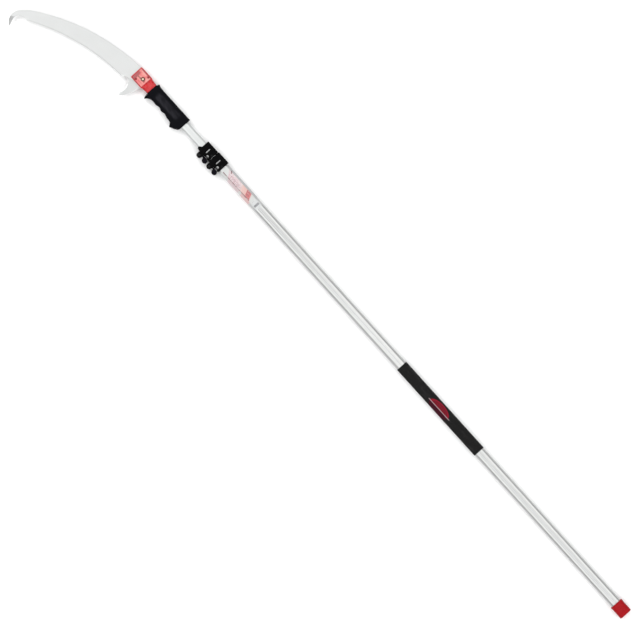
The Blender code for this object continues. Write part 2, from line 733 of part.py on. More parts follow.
# Handle and saw head
def handle():
    """The moulded pistol handle, lofted through its stations, with a bore for the saw tube."""
    rings = []
    for along, back, belly, half_width in HANDLE_STATIONS:
        ring = []
        for step in range(HANDLE_RING):
            angle = math.tau * step / HANDLE_RING
            power = 2 / HANDLE_SECTION_POWER
            y = math.copysign(abs(math.cos(angle)) ** power, math.cos(angle))
            z = math.copysign(abs(math.sin(angle)) ** power, math.sin(angle))
            ring.append((HANDLE_X + along, (back + belly) / 2 + y * (belly - back) / 2, z * half_width))
        rings.append(ring)
    piece = skin("handle", rings, BLACK_RUBBER)
    bore = section(SAW.grown(TOUCH))
    cut(piece, "X", bore, HANDLE_X - THROUGH, HOLDER_X + THROUGH)
    for along in HANDLE_SCREWS:
        centre = (HANDLE_X + along, 0.0)
        hole = circle(centre, SCREW_RADIUS + TOUCH, SMALL_CIRCLE_STEPS)
        cut(piece, "Y", hole, HANDLE_BACK - THROUGH, -SAW.height / 2)
        recess = circle(centre, SCREW_HEAD_RADIUS + TOUCH, SMALL_CIRCLE_STEPS)
        cut(piece, "Y", recess, HANDLE_BACK - THROUGH, HANDLE_BACK + HANDLE_SCREW_SUNK + TOUCH)
    return piece


HANDLE_BACK = max(back for _, back, _, _ in HANDLE_STATIONS[3:-3])


def handle_screws():
    """The screws from the back of the handle into the saw tube's wall."""
    head = (SCREW_HEAD_RADIUS, SCREW_HEAD)
    base = HANDLE_BACK + HANDLE_SCREW_SUNK
    tip = -SAW.height / 2 + TUBE_WALL
    return [
        fastener(f"handle_screw_{place}", "Y", (HANDLE_X + along, 0.0), SCREW_RADIUS, head, base, tip)
        for place, along in zip(("rear", "front"), HANDLE_SCREWS)
    ]


def tang_block():
    """The block in the saw tube's front end, slotted for the blade's tang."""
    shape = SAW.grown(-TUBE_WALL - TOUCH)
    end = TANG_BLOCK_X + TANG_BLOCK_LENGTH
    piece = prism("tang_block", "X", section(shape), TANG_BLOCK_X, end, ALUMINIUM)
    half_slot = BLADE_THICKNESS / 2 + TOUCH
    slot_start = TANG_BLOCK_X + TANG_BLOCK_WALL - TOUCH
    slot_height = TANG_HALF_HEIGHT + TOUCH
    slot = rectangle((slot_start, -slot_height), (end + THROUGH, slot_height))
    cut(piece, "Z", slot, -half_slot, half_slot)
    cut_tang_rivet_holes(piece, SAW.width / 2)
    return piece


def tang_rivets():
    """The rivets through the saw tube, the block and the tang, flush with the tube."""
    half = SAW.width / 2
    rivets = []
    for place, along in zip(("rear", "front"), TANG_RIVETS):
        outline = circle((along, 0.0), RIVET_RADIUS, SMALL_CIRCLE_STEPS)
        rivets.append(prism(f"tang_rivet_{place}", "Z", outline, -half, half, ZINC_STEEL))
    return rivets


def from_head(points):
    """Points measured from the holder's front end, in the object's frame."""
    return [(HEAD_X + x, y) for x, y in points]


def arc_height(low, radius, along):
    """Y of one of the blade's edge arcs at a distance from the holder's front end."""
    return low[1] + radius - math.sqrt(radius**2 - (along - low[0]) ** 2)


def blade_back():
    """The blade's back edge, from the holder to the start of the hooked tip."""
    start = TANG_BACK[-1][0] + 0.006
    end = TEETH_END + TIP_HOOK_START
    alongs = [start + (end - start) * step / BACK_STEPS for step in range(BACK_STEPS + 1)]
    return from_head([(along, arc_height(BACK_LOW, BACK_RADIUS, along)) for along in alongs])


def teeth():
    """The toothed edge, from the hooked tip to the heel: each tooth leans towards the handle."""
    centre = (HEAD_X + TEETH_LOW[0], TEETH_LOW[1] + TEETH_RADIUS)
    first, last = (
        math.degrees(math.asin((along - TEETH_LOW[0]) / TEETH_RADIUS)) - 90 for along in (TEETH_START, TEETH_END)
    )
    pitch = (last - first) / TOOTH_COUNT
    points = []
    for tooth in reversed(range(TOOTH_COUNT)):
        root = first + pitch * tooth
        points += arc(centre, TEETH_RADIUS + TOOTH_DEPTH / 2, root + pitch * TOOTH_LEAN, root, 1)[:1]
        points += arc(centre, TEETH_RADIUS - TOOTH_DEPTH / 2, root, root, 1)[:1]
    return points


def tip_hook():
    """The blade's hooked tip."""
    end = (HEAD_X + TEETH_END, arc_height(TEETH_LOW, TEETH_RADIUS, TEETH_END))
    points = [(end[0] + x, end[1] + y) for x, y in TIP_HOOK]
    point = 5  # the sharp tip, where the curve turns back
    return spline(points[: point + 1]) + spline(points[point:])[1:]


def tang(front):
    """The tang's outline between the rear of the blade and the given distance past the holder's front end."""
    rear = TANG_BLOCK_X + TANG_BLOCK_WALL
    belly = from_head(HEEL)
    outline = [point for point in belly if point[0] <= HEAD_X + front]
    outline += [(SAW_END, TANG_HALF_HEIGHT), (rear, TANG_HALF_HEIGHT), (rear, -TANG_HALF_HEIGHT)]
    outline += [(SAW_END, -TANG_HALF_HEIGHT)] + from_head(TANG_BACK)
    return outline


def saw_blade():
    """The curved pull-cut blade with its tang and hooked tip."""
    outline = tang(HEEL[0][0]) + blade_back() + tip_hook() + teeth()
    half = BLADE_THICKNESS / 2
    piece = prism("saw_blade", "Z", outline, -half, half, BLADE_STEEL)
    cut_tang_rivet_holes(piece, half)
    for centre, radius in ((BLADE_BOLT, BLADE_BOLT_RADIUS), (HOOK_SCREW, SCREW_RADIUS)):
        hole = circle(*from_head([centre]), radius + TOUCH, SMALL_CIRCLE_STEPS)
        cut(piece, "Z", hole, -half - THROUGH, half + THROUGH)
    return piece


HOOK_TOP = -BLADE_THICKNESS / 2 - TOUCH


def hook_outline():
    """The undercut hook's root and claw."""
    point = 5  # the claw's tip
    claw = from_head(HOOK_CLAW)
    return from_head(HOOK_ROOT) + spline(claw[: point + 1]) + spline(claw[point:])[1:]


def undercut_hook():
    """The hooked plate under the blade, clamped in the right half of the holder."""
    bottom = HOOK_TOP - HOOK_THICKNESS
    piece = prism("undercut_hook", "Z", hook_outline(), bottom, HOOK_TOP, BLADE_STEEL)
    for centre, radius in ((BLADE_BOLT, BLADE_BOLT_RADIUS), (HOOK_SCREW, SCREW_RADIUS)):
        hole = circle(*from_head([centre]), radius + TOUCH, SMALL_CIRCLE_STEPS)
        cut(piece, "Z", hole, bottom - THROUGH, HOOK_TOP + THROUGH)
    return piece


HOLDER_FACE = HOLDER_STATIONS[-2][2]


def holder_half(name, side):
    """One half of the blade holder: half a ferrule round the saw tube, and a cheek on the blade."""
    rings = []
    for along, half_height, half_width, corner in HOLDER_STATIONS:
        rings.append(in_space("X", section(Oval(2 * half_height, 2 * half_width, corner)), HOLDER_X + along))
    piece = skin(name, rings, RED_PLASTIC)
    reach = 2 * HOLDER_STATIONS[-2][1]
    other_side = rectangle((HOLDER_X - reach, -reach), (HEAD_X + reach, reach))
    cut(piece, "Z", other_side, side * HOLDER_SEAM, -side * reach)
    cut(piece, "X", section(SAW.grown(TOUCH)), HOLDER_X - THROUGH, SAW_END + TOUCH)
    front = HEEL[1][0]
    pocket = tang(front) + [point for point in blade_back() if point[0] < HEAD_X + front]
    pocket.append((HEAD_X + front, arc_height(BACK_LOW, BACK_RADIUS, front)))
    blade_room = side * (BLADE_THICKNESS / 2 + TOUCH)
    cut(piece, "Z", outline_grown(pocket, TOUCH), -blade_room, blade_room)
    if side < 0:
        cut(piece, "Z", outline_grown(hook_outline(), TOUCH), 0.0, HOOK_TOP - HOOK_THICKNESS - TOUCH)

    face = side * (HOLDER_FACE + THROUGH + SCREW_HEAD)
    bolt = circle(*from_head([BLADE_BOLT]), BLADE_BOLT_RADIUS + TOUCH, SMALL_CIRCLE_STEPS)
    cut(piece, "Z", bolt, -side * THROUGH, face)
    for centre in from_head([HOLDER_SCREW, HOOK_SCREW]):
        hole = circle(centre, SCREW_RADIUS + TOUCH, SMALL_CIRCLE_STEPS)
        if side > 0:
            cut(piece, "Z", hole, -THROUGH, face)
            recess = circle(centre, SCREW_HEAD_RADIUS + TOUCH, SMALL_CIRCLE_STEPS)
            cut(piece, "Z", recess, HOLDER_FACE - SCREW_SUNK - SCREW_HEAD - TOUCH, face)
        else:
            cut(piece, "Z", hole, THROUGH, -HOLDER_SCREW_DEPTH - TOUCH)
    return piece


def holder_fasteners():
    """The blade bolt with its nut, and the two screws that close the holder."""
    bolt_centre, holder_centre, hook_centre = from_head([BLADE_BOLT, HOLDER_SCREW, HOOK_SCREW])
    face = HOLDER_STATIONS[4][2] + TOUCH
    head = (BLADE_BOLT_HEAD_RADIUS, BLADE_BOLT_HEAD)
    tip = -face - NUT_HEIGHT - BOLT_TAIL
    bolt = fastener("blade_bolt", "Z", bolt_centre, BLADE_BOLT_RADIUS, head, face, tip)
    socket = circle(bolt_centre, SOCKET_RADIUS, 6)
    cut(bolt, "Z", socket, face + BLADE_BOLT_HEAD - SOCKET_DEPTH, face + BLADE_BOLT_HEAD + THROUGH)
    nut = prism("blade_bolt_nut", "Z", circle(bolt_centre, NUT_RADIUS, 6), -face - NUT_HEIGHT, -face, ZINC_STEEL)
    thread = circle(bolt_centre, BLADE_BOLT_RADIUS + TOUCH, SMALL_CIRCLE_STEPS)
    cut(nut, "Z", thread, -face - NUT_HEIGHT - THROUGH, -face + THROUGH)
    screw_head = (SCREW_HEAD_RADIUS, SCREW_HEAD)
    base = HOLDER_FACE - SCREW_SUNK - SCREW_HEAD
    screws = [
        fastener(name, "Z", centre, SCREW_RADIUS, screw_head, base, -HOLDER_SCREW_DEPTH, BLACK_NYLON)
        for name, centre in (("holder_screw", holder_centre), ("hook_screw", hook_centre))
    ]
    return [bolt, nut, *screws]


def clamp_pieces(clamp):
    """Every piece of one clamp."""
    return [collar(clamp), lever(clamp), pad(clamp), axle(clamp), clip(clamp), *collar_screws(clamp)]


def main():
    for old in list(bpy.data.objects):
        bpy.data.objects.remove(old)

    sections = {}
    for name in ("outer_section", "middle_section", "saw_section"):
        sections[name] = bpy.data.objects.new(name, None)
        bpy.context.scene.collection.objects.link(sections[name])
    hang(sections["outer_section"], sections["middle_section"])
    hang(sections["middle_section"], sections["saw_section"])

    hang(sections["outer_section"], outer_tube(), butt_cap(), grip_sleeve(), pole_label())
    hang(sections["outer_section"], *clamp_pieces(OUTER_CLAMP))
    hang(sections["middle_section"], middle_tube(), guide("middle_tube_guide", MIDDLE, MIDDLE_START, OUTER))
    hang(sections["middle_section"], *clamp_pieces(MIDDLE_CLAMP))
    hang(sections["saw_section"], saw_tube(), guide("saw_tube_guide", SAW, SAW_START, MIDDLE))
    hang(sections["saw_section"], handle(), *handle_screws(), tang_block(), *tang_rivets())
    hang(sections["saw_section"], holder_half("holder_left", 1), holder_half("holder_right", -1))
    hang(sections["saw_section"], saw_blade(), undercut_hook(), *holder_fasteners())


main()
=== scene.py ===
"""Looks of a telescoping pole saw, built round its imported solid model.

Every visible piece of the model gives way to a finer one here: drawn tubes with softened ends, moulded
clamps, a ribbed handle, a ground blade with set teeth. Sizes are in metres, in the model's own frame: the
pole lies along +X, the teeth face +Y and +Z is up.
"""

from __future__ import annotations

import json
import logging
import math
from dataclasses import dataclass, field, replace
from enum import Enum
from typing import NamedTuple, Sequence

import bmesh
import bpy
from mathutils import Matrix, Vector

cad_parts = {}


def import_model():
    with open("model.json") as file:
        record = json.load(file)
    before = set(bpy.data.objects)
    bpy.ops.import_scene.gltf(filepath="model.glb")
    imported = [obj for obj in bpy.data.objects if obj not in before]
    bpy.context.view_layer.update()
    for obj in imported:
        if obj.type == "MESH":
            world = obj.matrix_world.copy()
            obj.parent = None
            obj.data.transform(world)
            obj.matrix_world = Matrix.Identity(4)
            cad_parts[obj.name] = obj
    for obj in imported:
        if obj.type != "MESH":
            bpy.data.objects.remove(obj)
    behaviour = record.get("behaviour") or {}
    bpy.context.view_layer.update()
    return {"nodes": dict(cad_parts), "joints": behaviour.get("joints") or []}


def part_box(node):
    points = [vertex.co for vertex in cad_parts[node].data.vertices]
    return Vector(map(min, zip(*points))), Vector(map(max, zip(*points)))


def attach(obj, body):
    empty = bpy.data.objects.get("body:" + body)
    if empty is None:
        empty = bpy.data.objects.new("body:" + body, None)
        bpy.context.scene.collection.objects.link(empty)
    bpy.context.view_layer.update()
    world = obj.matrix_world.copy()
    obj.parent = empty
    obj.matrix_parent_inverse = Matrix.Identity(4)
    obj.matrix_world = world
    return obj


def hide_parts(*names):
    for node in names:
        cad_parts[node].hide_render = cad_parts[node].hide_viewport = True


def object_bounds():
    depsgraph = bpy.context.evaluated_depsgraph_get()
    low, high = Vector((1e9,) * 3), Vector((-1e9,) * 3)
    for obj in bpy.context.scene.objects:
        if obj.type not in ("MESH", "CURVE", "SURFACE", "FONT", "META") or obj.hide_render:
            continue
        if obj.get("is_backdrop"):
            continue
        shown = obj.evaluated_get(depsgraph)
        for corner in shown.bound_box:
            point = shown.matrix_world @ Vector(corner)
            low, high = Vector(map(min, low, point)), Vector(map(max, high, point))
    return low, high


log = logging.getLogger("pole_saw")

Point = tuple[float, float]
Colour = tuple[float, float, float]
Ring = list[Vector]
Piece = bpy.types.Object

TOUCH = 0.0003  # between two pieces that meet


def scaled(colour: Colour, by: float) -> Colour:
    """A colour made lighter or darker."""
    return tuple(share * by for share in colour)


class Body(Enum):
    """The moving bodies of the saw."""

    OUTER = "outer_section"
    OUTER_LEVER = "outer_lever"
    OUTER_PAD = "outer_pad"
    MIDDLE = "middle_section"
    MIDDLE_LEVER = "middle_lever"
    MIDDLE_PAD = "middle_pad"
    SAW = "saw_section"


class Slot(Enum):
    """The material slots of the record."""

    ALUMINIUM = "anodised_aluminium"
    BLADE_STEEL = "blade_steel"
    ZINC_STEEL = "zinc_steel"
    BLACK_NYLON = "black_nylon"
    BLACK_RUBBER = "black_rubber"
    GREY_NYLON = "grey_nylon"
    RED_PLASTIC = "red_plastic"
    RED_RUBBER = "red_rubber"
    LABEL_FILM = "label_film"


class Axis(Enum):
    """The direction that an outline stands across."""

    X = 0
    Y = 1
    Z = 2


class Side(Enum):
    """The two broad sides of the saw, as signs of Z."""

    LEFT = 1
    RIGHT = -1


class Joining(Enum):
    """How one solid works on another."""

    CUT = "DIFFERENCE"
    ADD = "UNION"
    KEEP = "INTERSECT"


class Box(NamedTuple):
    """The room that a node of the model takes up."""

    low: Vector
    high: Vector

    @classmethod
    def of(cls, node: str) -> Box:
        """The box of a node."""
        return cls(*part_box(node))

    @property
    def centre(self) -> Vector:
        """The middle of the box."""
        return (self.low + self.high) / 2

    @property
    def size(self) -> Vector:
        """The sides of the box."""
        return self.high - self.low

    @property
    def spot(self) -> Point:
        """X and Y of the middle of the box."""
        return (self.centre.x, self.centre.y)


# Shaders


class Wire:
    """A value that runs from one shader node to another, with the maths that the finishes do on it."""

    def __init__(self, tree: Tree, socket: bpy.types.NodeSocket) -> None:
        """Holds a node's output and the tree that it is in."""
        self.tree = tree
        self.socket = socket

    def _maths(self, operation: str, *values: Wire | float) -> Wire:
        """One Math node on the given values."""
        return self.tree.node("ShaderNodeMath", {"operation": operation}, dict(enumerate(values)))

    def __add__(self, other: Wire | float) -> Wire:
        """self + other."""
        return self._maths("ADD", self, other)

    def __radd__(self, other: float) -> Wire:
        """other + self."""
        return self._maths("ADD", other, self)

    def __sub__(self, other: Wire | float) -> Wire:
        """self - other."""
        return self._maths("SUBTRACT", self, other)

    def __rsub__(self, other: float) -> Wire:
        """other - self."""
        return self._maths("SUBTRACT", other, self)

    def __mul__(self, other: Wire | float) -> Wire:
        """self * other."""
        return self._maths("MULTIPLY", self, other)

    def __rmul__(self, other: float) -> Wire:
        """other * self."""
        return self._maths("MULTIPLY", other, self)

    def __truediv__(self, other: Wire | float) -> Wire:
        """self / other."""
        return self._maths("DIVIDE", self, other)

    def __pow__(self, other: float) -> Wire:
        """self to the power of other."""
        return self._maths("POWER", self, other)

    def __abs__(self) -> Wire:
        """The size of self without its sign."""
        return self._maths("ABSOLUTE", self)

    def __gt__(self, other: Wire | float) -> Wire:
        """1 where self is greater than other, and 0 elsewhere."""
        return self._maths("GREATER_THAN", self, other)

    def sine(self) -> Wire:
        """The sine of self."""
        return self._maths("SINE", self)

    def floor(self) -> Wire:
        """Self rounded down."""
        return self._maths("FLOOR", self)

    def angle_to(self, across: Wire) -> Wire:
        """The angle whose tangent is self over across."""
        return self._maths("ARCTAN2", self, across)

    def reach(self, across: Wire) -> Wire:
        """The length of a step of self one way and of across the other."""
        return (self * self + across * across) ** 0.5

    def most(self, other: Wire | float) -> Wire:
        """The greater of the two."""
        return self._maths("MAXIMUM", self, other)

    def rise(self, low: float, high: float) -> Wire:
        """A smooth step from 0 at low to 1 at high."""
        settings = {"interpolation_type": "SMOOTHSTEP"}
        inputs = {"Value": self, "From Min": low, "From Max": high}
        return self.tree.node("ShaderNodeMapRange", settings, inputs)

    def band(self, low: float, high: float, soft: float) -> Wire:
        """1 between low and high, and 0 outside them, with soft edges."""
        return self.rise(low - soft, low + soft) * (1 - self.rise(high - soft, high + soft))


class Tree:
    """The shader nodes of one finish."""

    def __init__(self, name: str) -> None:
        """Makes the material with its main shader."""
        self.material = bpy.data.materials.new(name)
        self.material.use_nodes = True
        self.nodes = self.material.node_tree.nodes
        self.links = self.material.node_tree.links
        self.nodes.clear()
        self.shader = self.nodes.new("ShaderNodeBsdfPrincipled")
        output = self.nodes.new("ShaderNodeOutputMaterial")
        self.links.new(self.shader.outputs["BSDF"], output.inputs["Surface"])

    @staticmethod
    def _pick(sockets: Sequence[bpy.types.NodeSocket], key: str | int) -> bpy.types.NodeSocket:
        """The socket of that number, identifier or name."""
        if isinstance(key, int):
            return sockets[key]
        return next((socket for socket in sockets if socket.identifier == key), None) or sockets[key]

    def _feed(self, socket: bpy.types.NodeSocket, value: Wire | Colour | float) -> None:
        """Links a wire into a socket, or sets the socket to a constant."""
        if isinstance(value, Wire):
            self.links.new(value.socket, socket)
        elif isinstance(value, tuple) and len(socket.default_value) == 4:
            socket.default_value = (*value, 1.0)
        else:
            socket.default_value = value

    def node(
        self,
        kind: str,
        settings: dict[str, str] | None = None,
        inputs: dict[str | int, Wire | Colour | float] | None = None,
        output: str | int = 0,
    ) -> Wire:
        """Adds a node.

        Args:
            kind: The node's type.
            settings: Its properties.
            inputs: Values or wires for its sockets, by number, identifier or name.
            output: Which output to return.

        Returns:
            The chosen output.
        """
        made = self.nodes.new(kind)
        for name, value in (settings or {}).items():
            setattr(made, name, value)
        for key, value in (inputs or {}).items():
            self._feed(self._pick(made.inputs, key), value)
        return Wire(self, self._pick(made.outputs, output))

    def set(self, **values: Wire | Colour | float) -> None:
        """Sets the main shader's sockets, with underscores for the spaces in their names."""
        for name, value in values.items():
            self._feed(self.shader.inputs[name.replace("_", " ")], value)

    def place(self) -> Wire:
        """Where a point is on the piece, in the model's frame."""
        return self.node("ShaderNodeTexCoord", output="Object")

    def along(self, place: Wire) -> tuple[Wire, Wire, Wire]:
        """The X, Y and Z of a point."""
        split = self.node("ShaderNodeSeparateXYZ", inputs={0: place})
        return tuple(Wire(self, socket) for socket in split.socket.node.outputs)

    def point(self, x: Wire | float, y: Wire | float, z: Wire | float) -> Wire:
        """A point from its X, Y and Z."""
        return self.node("ShaderNodeCombineXYZ", inputs={0: x, 1: y, 2: z})

    def stretch(self, place: Wire, by: Colour) -> Wire:
        """A point with each coordinate multiplied."""
        return self.node("ShaderNodeVectorMath", {"operation": "MULTIPLY"}, {0: place, 1: by})

    def noise(self, place: Wire, scale: float, detail: float = 3.0, roughness: float = 0.5) -> Wire:
        """Soft noise from 0 to 1."""
        inputs = {"Vector": place, "Scale": scale, "Detail": detail, "Roughness": roughness}
        return self.node("ShaderNodeTexNoise", None, inputs)

    def cells(self, place: Wire, scale: float) -> Wire:
        """The distance from the nearest of many scattered points."""
        return self.node("ShaderNodeTexVoronoi", None, {"Vector": place, "Scale": scale}, "Distance")

    def chance(self, place: Wire) -> Wire:
        """A fixed random number for each point."""
        return self.node("ShaderNodeTexWhiteNoise", {"noise_dimensions": "3D"}, {"Vector": place}, "Value")

    def mix(self, share: Wire, low: Wire | Colour, high: Wire | Colour) -> Wire:
        """A colour between low, where share is 0, and high, where it is 1."""
        inputs = {"Factor_Float": share, "A_Color": low, "B_Color": high}
        return self.node("ShaderNodeMix", {"data_type": "RGBA"}, inputs, "Result_Color")

    def relief(self, height: Wire, depth: float) -> Wire:
        """A normal that stands for a fine relief of the given depth."""
        return self.node("ShaderNodeBump", None, {"Height": height, "Distance": depth, "Strength": 1.0})


@dataclass(frozen=True)
class Finish:
    """What a surface is made of. Each kind of finish lays its own nodes, once."""

    name: str
    slot: Slot

    def material(self) -> bpy.types.Material:
        """The finish's material."""
        if self.name not in bpy.data.materials:
            self.lay(Tree(self.name))
        return bpy.data.materials[self.name]

    def lay(self, tree: Tree) -> None:
        """Lays the nodes of the finish."""
        raise NotImplementedError


@dataclass(frozen=True)
class DrawnMetal(Finish):
    """Drawn and anodised tube: fine lines along X, a satin sheen, faint cloudiness, and painted shade in the
    flutes and towards the narrow sides.
    """

    colour: Colour
    roughness: float = 0.30
    line_depth: float = 0.00002
    flute_half: float = 0.0
    # The flute and edge amounts paint shade into the colour; the dark colour below serves both the handling
    # marks and that painted shade.
    flute_shade: float = 0.22
    edge: Point = (0.0075, 0.0135)
    edge_shade: float = 0.17
    dirt_and_shade: Colour = (0.05, 0.05, 0.05)

    def lay(self, tree: Tree) -> None:
        """Lays the draw lines, the cloudiness, the handling marks, and the painted shade in the flutes and
        towards the corners.
        """
        place = tree.place()
        _, y, _ = tree.along(place)
        # Painted shade: colour darkened towards the narrow sides and in the middle of each flute, where the
        # light falls off.
        painted_shade = abs(y).rise(*self.edge) * self.edge_shade
        if self.flute_half:
            painted_shade = painted_shade.most((1 - abs(y).rise(0.0, self.flute_half)) * self.flute_shade)
        lines = tree.noise(tree.stretch(place, (3.0, 1500.0, 1500.0)), 1.0, 4.0, 0.6)
        cloud = tree.noise(tree.stretch(place, (4.0, 30.0, 30.0)), 1.0, 3.0)
        marks = tree.noise(tree.stretch(place, (60.0, 400.0, 400.0)), 1.0, 2.0).rise(0.66, 0.74)
        bright = scaled(self.colour, 1.05)
        dull = scaled(self.colour, 0.93)
        clean = tree.mix(lines * 0.55 + cloud * 0.45, dull, bright)
        tree.set(
            Base_Color=tree.mix(marks * 0.08 + painted_shade, clean, self.dirt_and_shade),
            Metallic=1.0,
            Roughness=self.roughness + (lines - 0.5) * 0.12 + (cloud - 0.5) * 0.08 + marks * 0.05,
            Normal=tree.relief(lines, self.line_depth),
        )


@dataclass(frozen=True)
class GroundSteel(Finish):
    """Blade steel: grinding lines that follow the arc of the teeth, and ground bevels beside them, smoother
    but painted darker as shade.
    """

    colour: Colour
    centre: Point
    teeth_radius: float
    bevel: float
    roughness: float = 0.34

    def lay(self, tree: Tree) -> None:
        """Lays the grain, the ground band painted darker as shade, and faint water marks."""
        place = tree.place()
        x, y, _ = tree.along(place)
        from_x, from_y = x - self.centre[0], y - self.centre[1]
        radius = from_x.reach(from_y)
        turn = from_y.angle_to(from_x)
        grain = tree.noise(tree.point(turn * 30.0, radius * 2600.0, 0.0), 1.0, 4.0, 0.65)
        cloud = tree.noise(place, 26.0, 3.0)
        across = tree.noise(tree.stretch(place, (900.0, 40.0, 40.0)), 1.0, 3.0)
        # Painted shade: the band of ground bevels along the teeth is darkened in colour, standing in for the
        # shade on the bevels.
        ground = 1 - (radius - self.teeth_radius).rise(self.bevel * -0.2, self.bevel)
        plain = tree.mix(grain * 0.6 + cloud * 0.4, scaled(self.colour, 0.94), self.colour)
        tree.set(
            Base_Color=tree.mix(ground * 0.9, plain, scaled(self.colour, 0.62)),
            Metallic=0.92,
            Roughness=self.roughness + (grain - 0.5) * 0.14 + (cloud - 0.5) * 0.06 - ground * 0.06,
            Normal=tree.relief(grain * (1 - ground) + across * ground, 0.00002),
        )


@dataclass(frozen=True)
class PlatedSteel(Finish):
    """Zinc plate: a faint grey mottle and fine turning lines."""

    colour: Colour
    roughness: float = 0.32

    def lay(self, tree: Tree) -> None:
        """Lays the mottle."""
        place = tree.place()
        mottle = tree.noise(place, 900.0, 3.0)
        spots = tree.noise(place, 240.0, 2.0).rise(0.55, 0.75)
        tree.set(
            Base_Color=tree.mix(mottle, scaled(self.colour, 0.88), self.colour),
            Metallic=1.0,
            Roughness=self.roughness + mottle * 0.10 + spots * 0.08,
            Normal=tree.relief(mottle, 0.00003),
        )


@dataclass(frozen=True)
class Moulded(Finish):
    """A moulded plastic or rubber: a spark-eroded grain, slow changes of sheen and a few rubbed places."""

    colour: Colour
    worn: Colour
    roughness: float = 0.46
    gloss: float = 0.35
    grain_scale: float = 1400.0
    grain_depth: float = 0.00006

    def lay(self, tree: Tree) -> None:
        """Lays the grain and the changes of colour and sheen."""
        place = tree.place()
        grain = tree.noise(place, self.grain_scale, 3.0, 0.6)
        pits = tree.cells(place, self.grain_scale * 0.7)
        cloud = tree.noise(place, 55.0, 3.0)
        rub = tree.noise(tree.stretch(place, (35.0, 90.0, 90.0)), 1.0, 4.0).rise(0.52, 0.78)
        tree.set(
            Base_Color=tree.mix(cloud * 0.30 + rub * 0.45 + grain * 0.15, self.colour, self.worn),
            Roughness=self.roughness + (cloud - 0.5) * 0.16 + (grain - 0.5) * 0.12 - rub * 0.06,
            Specular_IOR_Level=self.gloss,
            Normal=tree.relief(grain * 0.6 + pits * 0.4, self.grain_depth),
        )


@dataclass(frozen=True)
class SocketBolt(PlatedSteel):
    """A bolt with a bright domed middle and the flange round it painted dark as shade."""

    centre: Point = (0.0, 0.0)
    bright: float = 0.0036
    # The dark colour painted on the flange as shade.
    flange_shade: Colour = (0.06, 0.012, 0.008)

    def lay(self, tree: Tree) -> None:
        """Lays the bright middle and the painted shade on the flange."""
        place = tree.place()
        x, y, _ = tree.along(place)
        from_x, from_y = x - self.centre[0], y - self.centre[1]
        radius = from_x.reach(from_y)
        mottle = tree.noise(place, 900.0, 3.0)
        # Painted shade: the head outside the bright middle is coloured dark and less metallic, standing in
        # for the shade round the dome.
        outside = radius.rise(self.bright - 0.0004, self.bright + 0.0004)
        bright = tree.mix(mottle, scaled(self.colour, 0.88), self.colour)
        tree.set(
            Base_Color=tree.mix(outside, bright, self.flange_shade),
            Metallic=1 - outside * 0.6,
            Roughness=self.roughness + mottle * 0.10 + outside * 0.15,
            Normal=tree.relief(mottle, 0.00003),
        )


@dataclass(frozen=True)
class RibbedRubber(Moulded):
    """The handle's rubber, paler on the crests of its slanting ribs: partly rubbing wear, partly a painted
    highlight.
    """

    start: float = 0.0
    end: float = 0.0
    pitch: float = 0.0062

    def lay(self, tree: Tree) -> None:
        """Lays the grain, the pale crests, partly wear and partly painted highlight, and the slow changes of
        sheen.
        """
        place = tree.place()
        x, y, _ = tree.along(place)
        grain = tree.noise(place, self.grain_scale, 3.0, 0.6)
        cloud = tree.noise(tree.stretch(place, (28.0, 60.0, 60.0)), 1.0, 4.0)
        crest = ((x + y) * (math.tau / self.pitch)).sine() * -0.5 + 0.5
        cheek = x.band(self.start, self.end, 0.008) * (1 - abs(y).rise(0.008, 0.016))
        # The crests are painted paler: partly real rubbing wear, partly a painted highlight that brings out
        # the ribs.
        crest_wear_and_highlight = crest ** 2.0 * cheek * (cloud.rise(0.35, 0.62) * 0.8 + 0.2)
        tree.set(
            Base_Color=tree.mix(crest_wear_and_highlight * 0.75 + cloud * cheek * 0.2 + grain * 0.08, self.colour, self.worn),
            Roughness=self.roughness + (grain - 0.5) * 0.12 - crest_wear_and_highlight * 0.12,
            Specular_IOR_Level=self.gloss,
            Normal=tree.relief(grain, self.grain_depth),
        )


